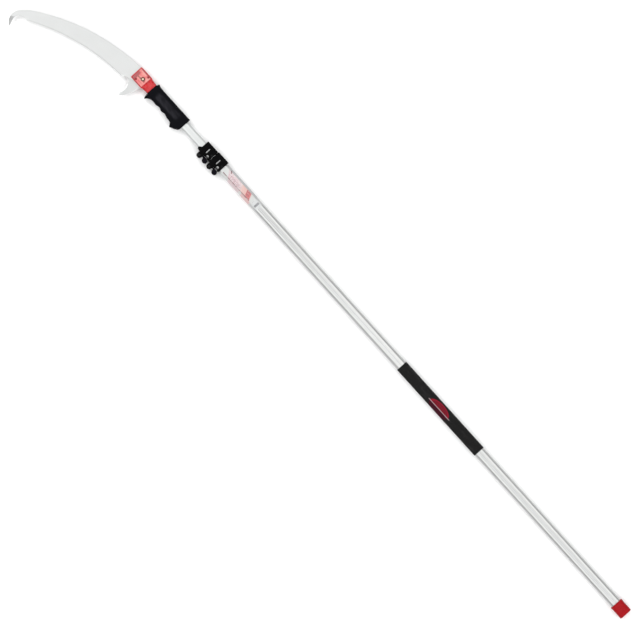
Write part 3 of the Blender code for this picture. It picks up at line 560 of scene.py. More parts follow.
@dataclass(frozen=True)
class KnurledRubber(Moulded):
    """The sleeve's rubber: a fine diamond knurl, with a plain printed mark on the upper side."""

    mark: Colour = (0.24, 0.006, 0.020)
    shade: Colour = (0.050, 0.002, 0.010)
    line: Colour = (0.50, 0.40, 0.41)
    mark_centre: Point = (0.0, 0.0)
    mark_size: Point = (0.046, 0.0205)
    line_half: float = 0.051
    pitch: float = 0.0021

    def lay(self, tree: Tree) -> None:
        """Lays the knurl, the mark and the line across it."""
        place = tree.place()
        x, y, z = tree.along(place)
        turn = math.tau / self.pitch
        round_pole = y.angle_to(z) * 0.018
        knurl = ((x + round_pole) * turn).sine() * ((x - round_pole) * turn).sine()
        grain = tree.noise(place, self.grain_scale, 3.0)
        rub = tree.noise(tree.stretch(place, (20.0, 90.0, 90.0)), 1.0, 4.0).rise(0.5, 0.8)
        off_x = (x - self.mark_centre[0]) / self.mark_size[0]
        off_y = (y - self.mark_centre[1]) / self.mark_size[1]
        reach = off_x.reach(off_y)
        inside = (1 - reach.rise(0.95, 1.0)) * (z > 0)
        bars = ((x * (math.tau / 0.0068)).sine() * 0.5 + 0.5) * (1 - reach.rise(0.70, 0.80))
        upper = (1 - y.rise(self.mark_centre[1] - 0.0015, self.mark_centre[1] - 0.0005)) * inside
        under = inside * (1 - upper) * 0.8
        mark = upper * (0.45 + reach.band(0.80, 2.0, 0.03) * 0.55).most(bars * upper)
        line = abs(y - self.mark_centre[1]).band(-1.0, 0.0009, 0.0003) * (z > 0)
        line = line * abs(x - self.mark_centre[0]).band(-1.0, self.line_half, 0.002)
        crests = (knurl.rise(0.1, 0.9) * 0.34 + rub * 0.3 + grain * 0.15) * (1 - mark * 0.6)
        rubber = tree.mix(crests, self.colour, self.worn)
        rubber = tree.mix(mark * 0.9, tree.mix(under, rubber, self.shade), self.mark)
        tree.set(
            Base_Color=tree.mix(line * 0.75, rubber, self.line),
            Roughness=self.roughness + (grain - 0.5) * 0.12 - rub * 0.08 - mark * 0.1,
            Specular_IOR_Level=self.gloss,
            Normal=tree.relief((knurl * 0.5 + 0.5) * (1 - mark * 0.5) + grain * 0.2, 0.00026),
        )


@dataclass(frozen=True)
class PrintedFilm(Finish):
    """The label's film: pale ground, a pink and a red field, rows of plain dashes and a thin dark rule."""

    start: float
    end: float
    ground: Colour = (0.52, 0.53, 0.52)
    pink: Colour = (0.56, 0.36, 0.39)
    orange: Colour = (0.60, 0.31, 0.27)
    red: Colour = (0.46, 0.07, 0.08)
    ink: Colour = (0.12, 0.030, 0.040)
    grey: Colour = (0.26, 0.26, 0.27)

    def _dashes(self, tree: Tree, x: Wire, y: Wire, seed: float, density: float) -> Wire:
        """Rows of short plain dashes."""
        row, place = (y / 0.0031).floor(), (x / 0.0017).floor()
        filled = tree.chance(tree.point(place, row, seed)) > 1 - density
        return filled * ((y / 0.0031) - row).band(0.22, 0.78, 0.06)

    def lay(self, tree: Tree) -> None:
        """Lays the fields, the dashes and the rule."""
        place = tree.place()
        x, y, _ = tree.along(place)
        share = (x - self.start) / (self.end - self.start)
        slant = share + y * 3.0
        height = abs(y)
        upper = 1 - (y - 0.0085).rise(0.0, 0.0006)
        face = (1 - height.rise(0.0122, 0.0138)) * upper
        skirt = (y - 0.0105).rise(0.0, 0.0006)
        red = slant.band(0.10, 0.24, 0.012) * face
        orange = slant.band(0.10, 0.40, 0.05) * face
        pink = slant.band(0.40, 0.80, 0.03) * face
        stripe = (share + y * 6.0).band(0.79, 0.83, 0.008) * face
        mark = (share + y * 6.0).band(0.730, 0.765, 0.006) * y.band(-0.0150, -0.0075, 0.0004)
        under = share.band(0.02, 0.30, 0.02).most(share.band(0.38, 0.74, 0.03)) * skirt
        edge = (-0.0118 - y).rise(0.0, 0.002)
        rule = (y - 0.0095).band(-0.0014, 0.0014, 0.0003) * share.band(0.06, 0.95, 0.005)
        rule = rule * (0.55 + 0.45 * (tree.chance(tree.point((x / 0.0042).floor(), 5.0, 0.0)) > 0.35))
        inked = pink * y.band(-0.0040, 0.0050, 0.001) * 0.85 + red * 0.7
        dark = self._dashes(tree, x, y, 1.0, 0.42) * inked
        pale = self._dashes(tree, x, y, 2.0, 0.5) * (pink + orange * 0.4)
        grain = tree.noise(place, 500.0, 2.0)
        colour = tree.mix(edge * 0.55, self.ground, self.grey)
        colour = tree.mix(pink * 0.7 + stripe * 0.5 + under * 0.55, colour, self.pink)
        colour = tree.mix(orange * 0.75 + under * (1 - share.rise(0.30, 0.38)) * 0.4, colour, self.orange)
        colour = tree.mix(red * 0.8, colour, self.red)
        colour = tree.mix(pale * 0.75, colour, scaled(self.ground, 1.25))
        colour = tree.mix((dark * 0.8).most(rule * 0.9).most(mark * 0.85), colour, self.ink)
        tree.set(
            Base_Color=colour,
            Metallic=0.15,
            Roughness=0.34 + grain * 0.10,
            Coat_Weight=0.15,
            Normal=tree.relief(grain, 0.00001),
        )


@dataclass(frozen=True)
class SizeTab(Finish):
    """A small film tab: white with one dark bar across it."""

    middle: float
    half_bar: float
    ground: Colour = (0.52, 0.53, 0.53)
    ink: Colour = (0.17, 0.17, 0.18)

    def lay(self, tree: Tree) -> None:
        """Lays the bar and a few pale dashes in it."""
        place = tree.place()
        x, y, _ = tree.along(place)
        bar = abs(x - self.middle).band(-1.0, self.half_bar, 0.0002) * abs(y).band(-1.0, 0.0105, 0.0003)
        letter = tree.chance(tree.point((x / 0.0018).floor(), (y / 0.0014).floor(), 2.0)) > 0.62
        grain = tree.noise(place, 500.0, 2.0)
        tree.set(
            Base_Color=tree.mix(bar * (1 - letter * 0.35), self.ground, self.ink),
            Roughness=0.36 + grain * 0.10,
            Normal=tree.relief(grain, 0.00001),
        )


@dataclass(frozen=True)
class HolderPlate(Finish):
    """The plate on the holder's cheek: a light red face in a thin dark frame, painted shade along its back
    edge, and a plain bar mark.
    """

    centre: Point
    half: Point
    face: Colour = (0.60, 0.13, 0.13)
    pale: Colour = (0.66, 0.28, 0.25)
    frame: Colour = (0.20, 0.018, 0.030)
    ink: Colour = (0.16, 0.035, 0.015)

    def lay(self, tree: Tree) -> None:
        """Lays the face, its frame, the painted shade along the back edge, the dark front field and the bars.
        """
        place = tree.place()
        x, y, _ = tree.along(place)
        off_x, off_y = (x - self.centre[0]) / self.half[0], (y - self.centre[1]) / self.half[1]
        # Painted shade: a dark band along the back edge, where the cheek's bevel falls into shade.
        back = 1 - (y - self.centre[1]).rise(-self.half[1] + 0.0026, -self.half[1] + 0.0034)
        front = (off_x + off_y * 0.10).rise(0.50, 0.56) * (off_y + 0.45).rise(-0.1, 0.1)
        rim = abs(off_x).rise(0.95, 0.98).most(abs(off_y).rise(0.95, 0.98))
        bars = ((x * (math.tau / 0.0034)).sine() > 0.0) * (abs(off_y - 0.18) - 0.10).rise(0.0, 0.02) * -1 + 1
        line = (1 - abs(off_y - 0.17).rise(0.09, 0.14)) * (1 - abs(off_x + 0.12).rise(0.60, 0.66))
        broken = tree.noise(tree.stretch(place, (420.0, 700.0, 1.0)), 1.0, 2.0).rise(0.38, 0.50)
        rows = (1 - abs(off_y - 0.62).rise(0.04, 0.07)) * (1 - abs(off_x + 0.2).rise(0.5, 0.55))
        cloud = tree.noise(place, 90.0, 3.0)
        grain = tree.noise(place, 1200.0, 2.0)
        face = tree.mix(cloud.rise(0.35, 0.68), self.face, self.pale)
        # The frame colour serves both the printed rim and the painted shade along the back edge.
        face = tree.mix(back.most(rim) * 0.85, face, self.frame)
        face = tree.mix(front * (0.45 + cloud * 0.5), face, self.frame)
        tree.set(
            Base_Color=tree.mix((line * broken * bars.most(0.6)).most(rows * broken * 0.3), face, self.ink),
            Roughness=0.34 + grain * 0.12,
            Coat_Weight=0.25,
            Normal=tree.relief(grain, 0.00002),
        )


@dataclass(frozen=True)
class PaperFloor(Finish):
    """The studio's pale floor."""

    colour: Colour

    def lay(self, tree: Tree) -> None:
        """Lays a barely seen tooth, as matt paper has."""
        place = tree.place()
        tooth = tree.noise(place, 180.0, 2.0)
        tree.set(
            Base_Color=tree.mix(tooth, scaled(self.colour, 0.995), self.colour),
            Roughness=0.85 + tooth * 0.05,
            Specular_IOR_Level=0.1,
        )


TUBE_METAL = DrawnMetal("drawn_aluminium", Slot.ALUMINIUM, (0.60, 0.605, 0.60), flute_half=0.0026)
INNER_METAL = DrawnMetal("drawn_aluminium_inner", Slot.ALUMINIUM, (0.66, 0.675, 0.67), 0.36)
BLOCK_METAL = DrawnMetal("sawn_block", Slot.ALUMINIUM, (0.60, 0.60, 0.61), 0.4)
FASTENER_STEEL = PlatedSteel("zinc_plate", Slot.ZINC_STEEL, (0.66, 0.66, 0.64))
BLACK_STEEL = PlatedSteel("blackened_steel", Slot.ZINC_STEEL, (0.020, 0.020, 0.021), 0.42)
CLAMP_NYLON = Moulded(
    "clamp_nylon", Slot.BLACK_NYLON, (0.0010, 0.0010, 0.0011), (0.0045, 0.0045, 0.0050), 0.46, 0.03
)
LEVER_NYLON = Moulded(
    "lever_nylon", Slot.BLACK_NYLON, (0.0018, 0.0014, 0.0030), (0.0065, 0.0055, 0.0100), 0.38, 0.05
)
PAD_NYLON = Moulded("pad_nylon", Slot.GREY_NYLON, (0.26, 0.26, 0.27), (0.34, 0.34, 0.35), 0.5, 0.4)
HANDLE_RUBBER = RibbedRubber(
    "handle_rubber",
    Slot.BLACK_RUBBER,
    colour=(0.0014, 0.0016, 0.0028),
    worn=(0.034, 0.033, 0.040),
    roughness=0.50,
    gloss=0.04,
    grain_scale=1100.0,
    grain_depth=0.00010,
)
HOLDER_RED = Moulded(
    "holder_red", Slot.RED_PLASTIC, (0.42, 0.004, 0.008), (0.54, 0.012, 0.018), 0.28, 0.5, 900.0, 0.00002
)
SCREW_RED = Moulded("red_screw", Slot.RED_PLASTIC, (0.20, 0.008, 0.010), (0.34, 0.03, 0.03), 0.36, 0.5)
CAP_RED = Moulded(
    "cap_red", Slot.RED_RUBBER, (0.27, 0.0015, 0.004), (0.34, 0.004, 0.008), 0.50, 0.12, 1200.0, 0.00008
)


# Outlines


def arc(centre: Point, radius: float, start: float, end: float, steps: int) -> list[Point]:
    """Points along an arc from one angle to another, in degrees, both ends included."""
    angles = [math.radians(start + (end - start) * step / steps) for step in range(steps + 1)]
    return [(centre[0] + radius * math.cos(angle), centre[1] + radius * math.sin(angle)) for angle in angles]


def circle(centre: Point, radius: float, steps: int = 36) -> list[Point]:
    """A whole circle, or a regular polygon with a few steps."""
    return arc(centre, radius, 0, 360, steps)[:-1]


def rectangle(low: Point, high: Point) -> list[Point]:
    """A rectangle between two corners."""
    return [low, (high[0], low[1]), high, (low[0], high[1])]


def spline(points: Sequence[Point], steps: int = 7) -> list[Point]:
    """A smooth curve through the points, both ends included."""
    ends = [Vector(points[0]) * 2 - Vector(points[1]), *map(Vector, points)]
    ends.append(Vector(points[-1]) * 2 - Vector(points[-2]))
    curve: list[Point] = []
    for before, start, end, after in zip(ends, ends[1:], ends[2:], ends[3:]):
        for step in range(steps):
            t = step / steps
            point = 2 * start + (end - before) * t + (2 * before - 5 * start + 4 * end - after) * t**2
            curve.append(tuple(0.5 * (point + (3 * start - before - 3 * end + after) * t**3)))
    return curve + [tuple(points[-1])]


def moved_out(points: Sequence[Point], gaps: Sequence[float] | float) -> list[Point]:
    """Moves a closed outline outwards.

    Args:
        points: The outline, with no point on the one before it.
        gaps: How far each point moves, or one distance for all. Less than 0 moves inwards.

    Returns:
        The moved outline, with the same number of points.
    """
    points = list(points)
    distances = [gaps] * len(points) if isinstance(gaps, float) else list(gaps)
    area = sum(a[0] * b[1] - b[0] * a[1] for a, b in zip(points, points[1:] + points[:1]))
    facing = 1 if area > 0 else -1
    moved: list[Point] = []
    earlier, later = points[-1:] + points[:-1], points[1:] + points[:1]
    for before, point, after, gap in zip(earlier, points, later, distances):
        into = (Vector(point) - Vector(before)).normalized()
        out = (Vector(after) - Vector(point)).normalized()
        normal = Vector((into.y + out.y, -into.x - out.x)).normalized()
        moved.append(tuple(Vector(point) + normal * facing * gap / max(normal.dot((out.y, -out.x)), 0.6)))
    return moved


class Oval(NamedTuple):
    """A section across the pole, with rounded corners and an optional flute down each broad side."""

    height: float
    width: float
    corner: float
    shift: float = 0.0
    flute_width: float = 0.0
    flute_depth: float = 0.0

    @classmethod
    def of(cls, node: str) -> Oval:
        """The section of one of the model's tubes, whose narrow sides are half round."""
        size = Box.of(node).size
        return cls(size.y, size.z, size.z / 2)

    def grown(self, gap: float) -> Oval:
        """The same section moved outwards all round."""
        height, width = self.height + 2 * gap, self.width + 2 * gap
        return self._replace(height=height, width=width, corner=self.corner + gap)

    def outline(self, steps: int = 16) -> list[Point]:
        """The section's points in Y and Z, with steps in each corner."""
        straight_y, straight_z = self.height / 2 - self.corner, self.width / 2 - self.corner
        points: list[Point] = []
        for quarter, (side_y, side_z) in enumerate(((1, 1), (-1, 1), (-1, -1), (1, -1))):
            centre = (side_y * straight_y + self.shift, side_z * straight_z)
            points += arc(centre, self.corner, quarter * 90, quarter * 90 + 90, steps)
            if quarter in (0, 2):
                points += self._flute(side_y, side_z)
        return points

    def _flute(self, side_y: int, side_z: int, steps: int = 12) -> list[Point]:
        """The points across one broad side's flute, or across the flat where there is none."""
        half = max(self.flute_width / 2, 0.002)
        points = []
        for step in range(1, steps):
            y = half * (1 - 2 * step / steps)
            depth = self.flute_depth * 0.5 * (1 + math.cos(math.pi * y / half))
            points.append((side_y * y + self.shift, side_z * (self.width / 2 - depth)))
        return points


def rounded_ends(low: float, high: float, radius: float, steps: int = 4) -> list[Point]:
    """Places along an axis and how far each is drawn in, for a shape with rounded rims."""
    first = [(radius * (1 - math.cos(math.pi / 2 * i / steps)), i) for i in range(steps + 1)]
    rims = [(low + along, radius * (1 - math.sin(math.pi / 2 * i / steps))) for along, i in first]
    return rims + [(high - (along - low), inset) for along, inset in reversed(rims)]


# Solids


def placed(axis: Axis, outline: Sequence[Point], along: float) -> Ring:
    """The outline's points in space, in the plane across the axis at the given distance along it."""
    if axis is Axis.X:
        return [Vector((along, a, b)) for a, b in outline]
    if axis is Axis.Y:
        return [Vector((a, along, b)) for a, b in outline]
    return [Vector((a, b, along)) for a, b in outline]


def shade(piece: Piece, sharp: float | None) -> None:
    """Shades a piece smooth, with edges over the given angle in degrees kept sharp."""
    piece.data.shade_smooth()
    if sharp is not None:
        piece.data.set_sharp_from_angle(angle=math.radians(sharp))


def loft(name: str, rings: Sequence[Ring], looped: bool = False, sharp: float = 34.0) -> Piece:
    """A closed solid through rings of points.

    Args:
        name: The piece's name.
        rings: Rings with the same number of points.
        looped: Joins the last ring to the first. Otherwise both are capped.
        sharp: The angle, in degrees, over which an edge stays sharp.

    Returns:
        The piece, in the scene.
    """
    mesh = bpy.data.meshes.new(name)
    build = bmesh.new()
    rows = [[build.verts.new(point) for point in ring] for ring in rings]
    pairs = list(zip(rows, rows[1:]))
    if looped:
        pairs.append((rows[-1], rows[0]))
    else:
        build.faces.new(rows[0])
        build.faces.new(rows[-1])
    for low, high in pairs:
        for i, corner in enumerate(low):
            j = (i + 1) % len(low)
            build.faces.new((corner, low[j], high[j], high[i]))
    bmesh.ops.recalc_face_normals(build, faces=build.faces)
    build.to_mesh(mesh)
    build.free()
    piece = bpy.data.objects.new(name, mesh)
    bpy.context.scene.collection.objects.link(piece)
    shade(piece, sharp)
    return piece


def prism(name: str, axis: Axis, outline: Sequence[Point], start: float, end: float) -> Piece:
    """An outline extruded along an axis, between two places in either order."""
    return loft(name, [placed(axis, outline, along) for along in sorted((start, end))])


def hollow(
    name: str, section: Oval, bore: Oval, profile: Sequence[Point], ends: Point, steps: int = 24, **how: float
) -> Piece:
    """A sleeve along X.

    Args:
        name: The piece's name.
        section: Its section outside.
        bore: Its section inside.
        profile: X and how far the outside is drawn in there, from the rear to the front.
        ends: Where the bore starts and ends.
        steps: How many steps each corner has.
        how: What loft is told as well.

    Returns:
        The piece.
    """
    rings = [placed(Axis.X, section.grown(-inset).outline(steps), x) for x, inset in profile]
    rings += [placed(Axis.X, bore.outline(steps), x) for x in reversed(ends)]
    return loft(name, rings, **({"looped": True} | how))


def lathe(name: str, axis: Axis, centre: Point, profile: Sequence[Point], steps: int = 40) -> Piece:
    """A turned solid. Its profile is places along the axis and the radius at each."""
    return loft(name, [placed(axis, circle(centre, radius, steps), along) for along, radius in profile])


def settle(piece: Piece, sharp: float | None = 34.0) -> None:
    """Applies a piece's modifiers."""
    bpy.context.view_layer.update()
    graph = bpy.context.evaluated_depsgraph_get()
    mesh = bpy.data.meshes.new_from_object(piece.evaluated_get(graph), depsgraph=graph)
    rough = piece.data
    piece.modifiers.clear()
    piece.data = mesh
    bpy.data.meshes.remove(rough)
    shade(piece, sharp)


def work(piece: Piece, *tools: Piece, how: Joining = Joining.CUT) -> Piece:
    """Cuts the tools out of a piece, or joins them to it, and throws them away."""
    for tool in tools:
        change = piece.modifiers.new(tool.name, "BOOLEAN")
        change.operation = how.value
        change.solver = "MANIFOLD"
        change.object = tool
    settle(piece)
    for tool in tools:
        mesh = tool.data
        bpy.data.objects.remove(tool)
        bpy.data.meshes.remove(mesh)
    return piece


def mould(piece: Piece, grain: float, rounds: int = 3, keep: float = 0.5) -> Piece:
    """Rounds every edge, as a mould does.

    Args:
        piece: The sharp piece.
        grain: The size of the even grid that it is remade on.
        rounds: How many times its points are drawn together.
        keep: The share of the faces to keep.

    Returns:
        The same piece.
    """
    even = piece.modifiers.new("even", "REMESH")
    even.mode = "VOXEL"
    even.voxel_size = grain
    soften = piece.modifiers.new("soften", "SMOOTH")
    soften.factor = 0.5
    soften.iterations = rounds
    thin = piece.modifiers.new("thin", "DECIMATE")
    thin.ratio = keep
    settle(piece, None)
    return piece


def fit(piece: Piece, finish: Finish, body: Body, *nodes: str) -> Piece:
    """Dresses a piece and puts it in the place of the model's nodes.

    Args:
        piece: The finished shape.
        finish: What it is made of.
        body: The body that it moves with.
        nodes: The nodes that it stands for.

    Returns:
        The same piece.
    """
    piece.data.materials.clear()
    piece.data.materials.append(finish.material())
    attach(piece, body.value)
    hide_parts(*nodes)
    log.info("%s rides on %s, %d faces", piece.name, body.value, len(piece.data.polygons))
    return piece


# Sub-assemblies


@dataclass
class HeldPole:
    """The outer tube with what is on it: butt cap, grip sleeve, label and size tab."""

    wall: float = 0.0013
    rim: float = 0.0004
    flute_width: float = 0.0064
    flute_depth: float = 0.0006
    cap_mouth: float = 0.004
    cap_corner: float = 0.0145
    foot_radius: float = 0.0032
    body_inset: float = 0.0004
    groove_places: tuple[float, ...] = (0.016, 0.0225, 0.029, 0.0355)
    groove_half: float = 0.0016
    groove_depth: float = 0.0007
    label_inset: float = 0.0001
    tab_start: float = 1.8615
    tab_end: float = 1.8885
    tab_bar: float = 1.8738
    tab_half_bar: float = 0.0040
    section: Oval = field(init=False)

    def __post_init__(self) -> None:
        """Takes the tube's section from the model."""
        self.section = Oval.of("outer_tube")

    def tube(self) -> Piece:
        """The fluted tube, with softened rims."""
        box = Box.of("outer_tube")
        fluted = self.section._replace(flute_width=self.flute_width, flute_depth=self.flute_depth)
        bore = self.section.grown(-self.wall)
        ends = (box.low.x, box.high.x)
        piece = hollow("pole_tube_outer", fluted, bore, rounded_ends(*ends, self.rim), ends)
        return fit(piece, TUBE_METAL, Body.OUTER, "outer_tube")

    def butt_cap(self) -> Piece:
        """The rubber cup, with a rounded foot, gripping grooves and a bead round its mouth."""
        box = Box.of("butt_cap")
        full = Oval(box.size.y, box.size.z, self.cap_corner)
        radius, body_inset = self.foot_radius, self.body_inset
        profile = [(0.0010, 0.0100), (0.0002, 0.0092), (0.0, 0.0070), (0.0, 0.0034)]
        turns = (1.2, 0.8, 0.4)
        profile += [(radius * (1 - math.sin(turn)), radius * (1 - math.cos(turn))) for turn in turns]
        profile.append((0.0034, body_inset))
        for place in self.groove_places:
            for share in (-1.0, -0.6, -0.25, 0.25, 0.6, 1.0):
                depth = self.groove_depth * (1 - share**2)
                profile.append((place + share * self.groove_half, body_inset + depth))
        length = box.size.x
        profile += [(length - 0.0085, body_inset), (length - 0.0070, 0.0)]
        profile += [(length - 0.0012, 0.0), (length, 0.0012)]
        profile = [(box.low.x + x, inset) for x, inset in profile]
        ends = (box.low.x + self.cap_mouth, box.high.x)
        inside = self.section.grown(TOUCH)
        piece = hollow("butt_cap_rubber", full, inside, profile, ends, 18, looped=False, sharp=50)
        return fit(piece, CAP_RED, Body.OUTER, "butt_cap")

    def grip_sleeve(self) -> Piece:
        """The thin rubber sleeve, thickened a little at both rims."""
        box = Box.of("grip_sleeve")
        inside = self.section.grown(TOUCH)
        outside = Oval(box.size.y, box.size.z, box.size.z / 2)
        length = box.size.x
        profile = [(0.0, 0.0007), (0.0003, 0.0002), (0.0008, 0.0), (0.0030, 0.0), (0.0036, 0.0003)]
        profile += [(length - x, inset) for x, inset in reversed(profile)]
        profile = [(box.low.x + x, inset) for x, inset in profile]
        finish = KnurledRubber(
            "sleeve_rubber",
            Slot.BLACK_RUBBER,
            (0.0030, 0.0030, 0.0030),
            (0.050, 0.048, 0.048),
            0.60,
            0.06,
            mark_centre=(box.centre.x + 0.002, 0.0048),
        )
        piece = hollow("grip_sleeve_rubber", outside, inside, profile, (box.low.x, box.high.x))
        return fit(piece, finish, Body.OUTER, "grip_sleeve")

    def label(self) -> Piece:
        """The printed film round the tube."""
        box = Box.of("pole_label")
        inside, outside = self.section.grown(TOUCH * 0.5), Oval(box.size.y, box.size.z, box.size.z / 2)
        ends = (box.low.x, box.high.x)
        piece = hollow("label_wrap", outside, inside, [(x, self.label_inset) for x in ends], ends)
        finish = PrintedFilm("label_print", Slot.LABEL_FILM, box.low.x, box.high.x)
        return fit(piece, finish, Body.OUTER, "pole_label")

    def size_tab(self) -> Piece:
        """The small film tab behind the label, over the upper side only."""
        outside = self.section.grown(0.00020).outline(24)
        inside = self.section.grown(0.00006).outline(24)
        upper = [i for i, (y, z) in enumerate(outside) if z > 0 and abs(y) < 0.0145]
        loop = [outside[i] for i in upper] + [inside[i] for i in reversed(upper)]
        piece = prism("size_tab", Axis.X, loop, self.tab_start, self.tab_end)
        return fit(piece, SizeTab("tab_print", Slot.LABEL_FILM, self.tab_bar, self.tab_half_bar), Body.OUTER)

    def build(self) -> list[Piece]:
        """Every piece on the outer tube."""
        return [self.tube(), self.butt_cap(), self.grip_sleeve(), self.label(), self.size_tab()]


@dataclass
class SlidingTubes:
    """The two tubes that slide, and the hidden nodes inside them that only take a finish."""

    wall: float = 0.0013
    rim: float = 0.0004

    def tube(self, name: str, node: str, body: Body) -> Piece:
        """One plain oval tube."""
        box = Box.of(node)
        section = Oval.of(node)
        bore = section.grown(-self.wall)
        ends = (box.low.x, box.high.x)
        return fit(hollow(name, section, bore, rounded_ends(*ends, self.rim), ends), INNER_METAL, body, node)

    def dress_hidden(self, nodes: dict[str, Piece]) -> None:
        """Gives the guides, the tang block and its rivets their finishes."""
        finishes = {
            "middle_tube_guide": PAD_NYLON,
            "saw_tube_guide": PAD_NYLON,
            "tang_block": BLOCK_METAL,
            "tang_rivet_rear": FASTENER_STEEL,
            "tang_rivet_front": FASTENER_STEEL,
        }
        for node, finish in finishes.items():
            for holder in nodes[node].material_slots:
                holder.material = finish.material()
            log.info("%s keeps its shape and takes %s", node, finish.name)

    def build(self, nodes: dict[str, Piece]) -> list[Piece]:
        """Both sliding tubes, with the nodes inside them dressed."""
        self.dress_hidden(nodes)
        return [
            self.tube("pole_tube_middle", "middle_tube", Body.MIDDLE),
            self.tube("pole_tube_saw", "saw_tube", Body.SAW),
        ]


@dataclass
class CamClamp:
    """One cam-lever clamp: collar, lever, pad, axle, clip and two screws."""

    name: str
    fixed: str
    sliding: str
    bodies: tuple[Body, Body, Body]
    axle: Point
    lip_length: float = 0.0
    length: float = 0.050
    on_tube: float = 0.029
    belly_wall: float = 0.0025
    corner: float = 0.011
    ear_radius: float = 0.0094
    ear_thickness: float = 0.007
    half_lever: float = 0.0069
    slot_x: float = 0.0243
    slot_width: float = 0.0034
    slot_top: float = -0.012
    slot_bottom: float = 0.010
    window_x: float = 0.0135
    window_width: float = 0.0105
    window_top: float = 0.0095
    screw_x: float = 0.006
    band_places: tuple[float, ...] = (0.0098, 0.0215, 0.0312)
    cam_radius: float = 0.0086
    cam_throw: float = 0.0012
    lever_reach: float = 0.0265
    lobe_radius: float = 0.0097
    lobe_seat: float = 0.9
    half_lobe: float = 0.011
    lever_rise: float = 0.0006
    neck_depth: float = 0.0052
    groove_radius: float = 0.0010
    axle_radius: float = 0.0025
    collar_box: Box = field(init=False)
    held: Oval = field(init=False)
    slid: Oval = field(init=False)

    def __post_init__(self) -> None:
        """Takes the collar's room and both tubes' sections from the model."""
        self.collar_box = Box.of(f"{self.name}_collar")
        self.held = Oval.of(self.fixed)
        self.slid = Oval.of(self.sliding)

    @property
    def start(self) -> float:
        """X of the collar's rear face."""
        return self.collar_box.low.x

    @property
    def front(self) -> float:
        """X of the collar's front face, without its lip."""
        return self.start + self.length

    @property
    def half_width(self) -> float:
        """Z of the collar's broad sides."""
        return self.collar_box.high.z

    @property
    def belly(self) -> float:
        """Y of the collar's surface on the lever side."""
        return self.held.height / 2 + TOUCH + self.belly_wall

    @property
    def ear_side(self) -> float:
        """Z of the ears' outer faces."""
        return self.half_lever + TOUCH + self.ear_thickness

    def _through(self, label: str, outline: Sequence[Point], half: float = 0.03) -> Piece:
        """A cutter across the whole clamp."""
        return prism(f"{self.name}_{label}", Axis.Z, outline, -half, half)

    def collar(self) -> Piece:
        """The moulded collar with its ears, flex slot, windows and grooves."""
        back = -self.collar_box.low.y
        shape = Oval(back + self.belly, 2 * self.half_width, self.corner, (self.belly - back) / 2)
        ends = rounded_ends(self.start, self.front, 0.0020, 5)
        rings = [placed(Axis.X, shape.grown(-inset).outline(), x) for x, inset in ends]
        piece = loft(f"{self.name}_collar_moulded", rings)
        base = self.slid.height / 4
        ear = arc(self.axle, self.ear_radius, 180, 0, 24)
        ear += [(self.axle[0] + self.ear_radius, base), (self.axle[0] - self.ear_radius, base)]
        inner = self.half_lever + TOUCH
        additions = [
            prism(f"{self.name}_ear_{side.name}", Axis.Z, ear, side.value * inner, side.value * self.ear_side)
            for side in Side
        ]
        if self.lip_length:
            tip = self.front + self.lip_length
            lip = [(self.front - 0.002, 0.2 * self.belly), (self.front, 0.2 * self.belly)]
            nose = [(tip - 0.002, 0.5 * self.belly), (tip, 0.66 * self.belly)]
            lip += spline([*nose, (tip - 0.0035, self.belly - 0.0005)], 5)
            lip.append((self.front - 0.002, self.belly - 0.0006))
            additions.append(prism(f"{self.name}_lip", Axis.Z, lip, -0.014, 0.014))
        work(piece, *additions, how=Joining.ADD)
        work(piece, *self._collar_cutters(shape))
        mould(piece, 0.00042, 3, 0.42)
        return fit(piece, CLAMP_NYLON, self.bodies[0], f"{self.name}_collar")

    def _collar_cutters(self, shape: Oval) -> list[Piece]:
        """What is cut out of the collar: bores, slot, windows, pad room, holes and grooves."""
        name, beyond = self.name, 0.012
        middle = self.start + self.on_tube
        window = (self.start + self.window_x, self.window_top + self.window_width / 2)
        half_window = self.window_width / 2
        arch = arc(window, half_window, 180, 360, 20)
        arch += [(window[0] + half_window, self.belly + 0.002), (window[0] - half_window, self.belly + 0.002)]
        slot_low = (self.start + self.slot_x, self.slot_top)
        slot_high = (slot_low[0] + self.slot_width, self.slot_bottom)
        pad = Box.of(f"{name}_pad")
        pad_corners = (pad.low.x - TOUCH, pad.low.y - 0.0023), (pad.high.x + TOUCH, self.belly + 0.002)
        pad_room = rectangle(*pad_corners)
        screw = (self.start + self.screw_x, 0.0)
        room = self.half_lever + TOUCH
        rear_bore, front_bore = self.held.grown(TOUCH).outline(), self.slid.grown(0.0004).outline()
        cutters = [
            prism(f"{name}_rear_bore", Axis.X, rear_bore, self.start - beyond, middle + TOUCH),
            prism(f"{name}_front_bore", Axis.X, front_bore, middle - 0.002, self.front + beyond),
            self._through("slot", rectangle(slot_low, slot_high)),
            self._through("window", arch),
            prism(f"{name}_pad_room", Axis.Z, pad_room, -room, room),
            self._through("axle_hole", circle(self.axle, self.axle_radius + TOUCH)),
            self._through("screw_hole", circle(screw, 0.0019)),
        ]
        for side in Side:
            floor = side.value * (self.half_width - 0.0021)
            recess = circle(screw, 0.0038)
            cutters.append(prism(f"{name}_recess_{side.name}", Axis.Z, recess, floor, side.value * 0.03))
        for number, place in enumerate(self.band_places):
            low, high = self.start + place - 0.0006, self.start + place + 0.0006
            outer, inner = shape.grown(0.002).outline(), shape.grown(-0.0006).outline()
            rings = [placed(Axis.X, outer, low), placed(Axis.X, outer, high)]
            rings += [placed(Axis.X, inner, high), placed(Axis.X, inner, low)]
            band = loft(f"{name}_band_{number}", rings, looped=True)
            lever_side = rectangle((self.start - beyond, 0.0), (self.front + beyond, 0.05))
            cutters.append(work(band, prism(f"{name}_band_stop", Axis.Z, lever_side, -0.03, 0.03)))
        return cutters

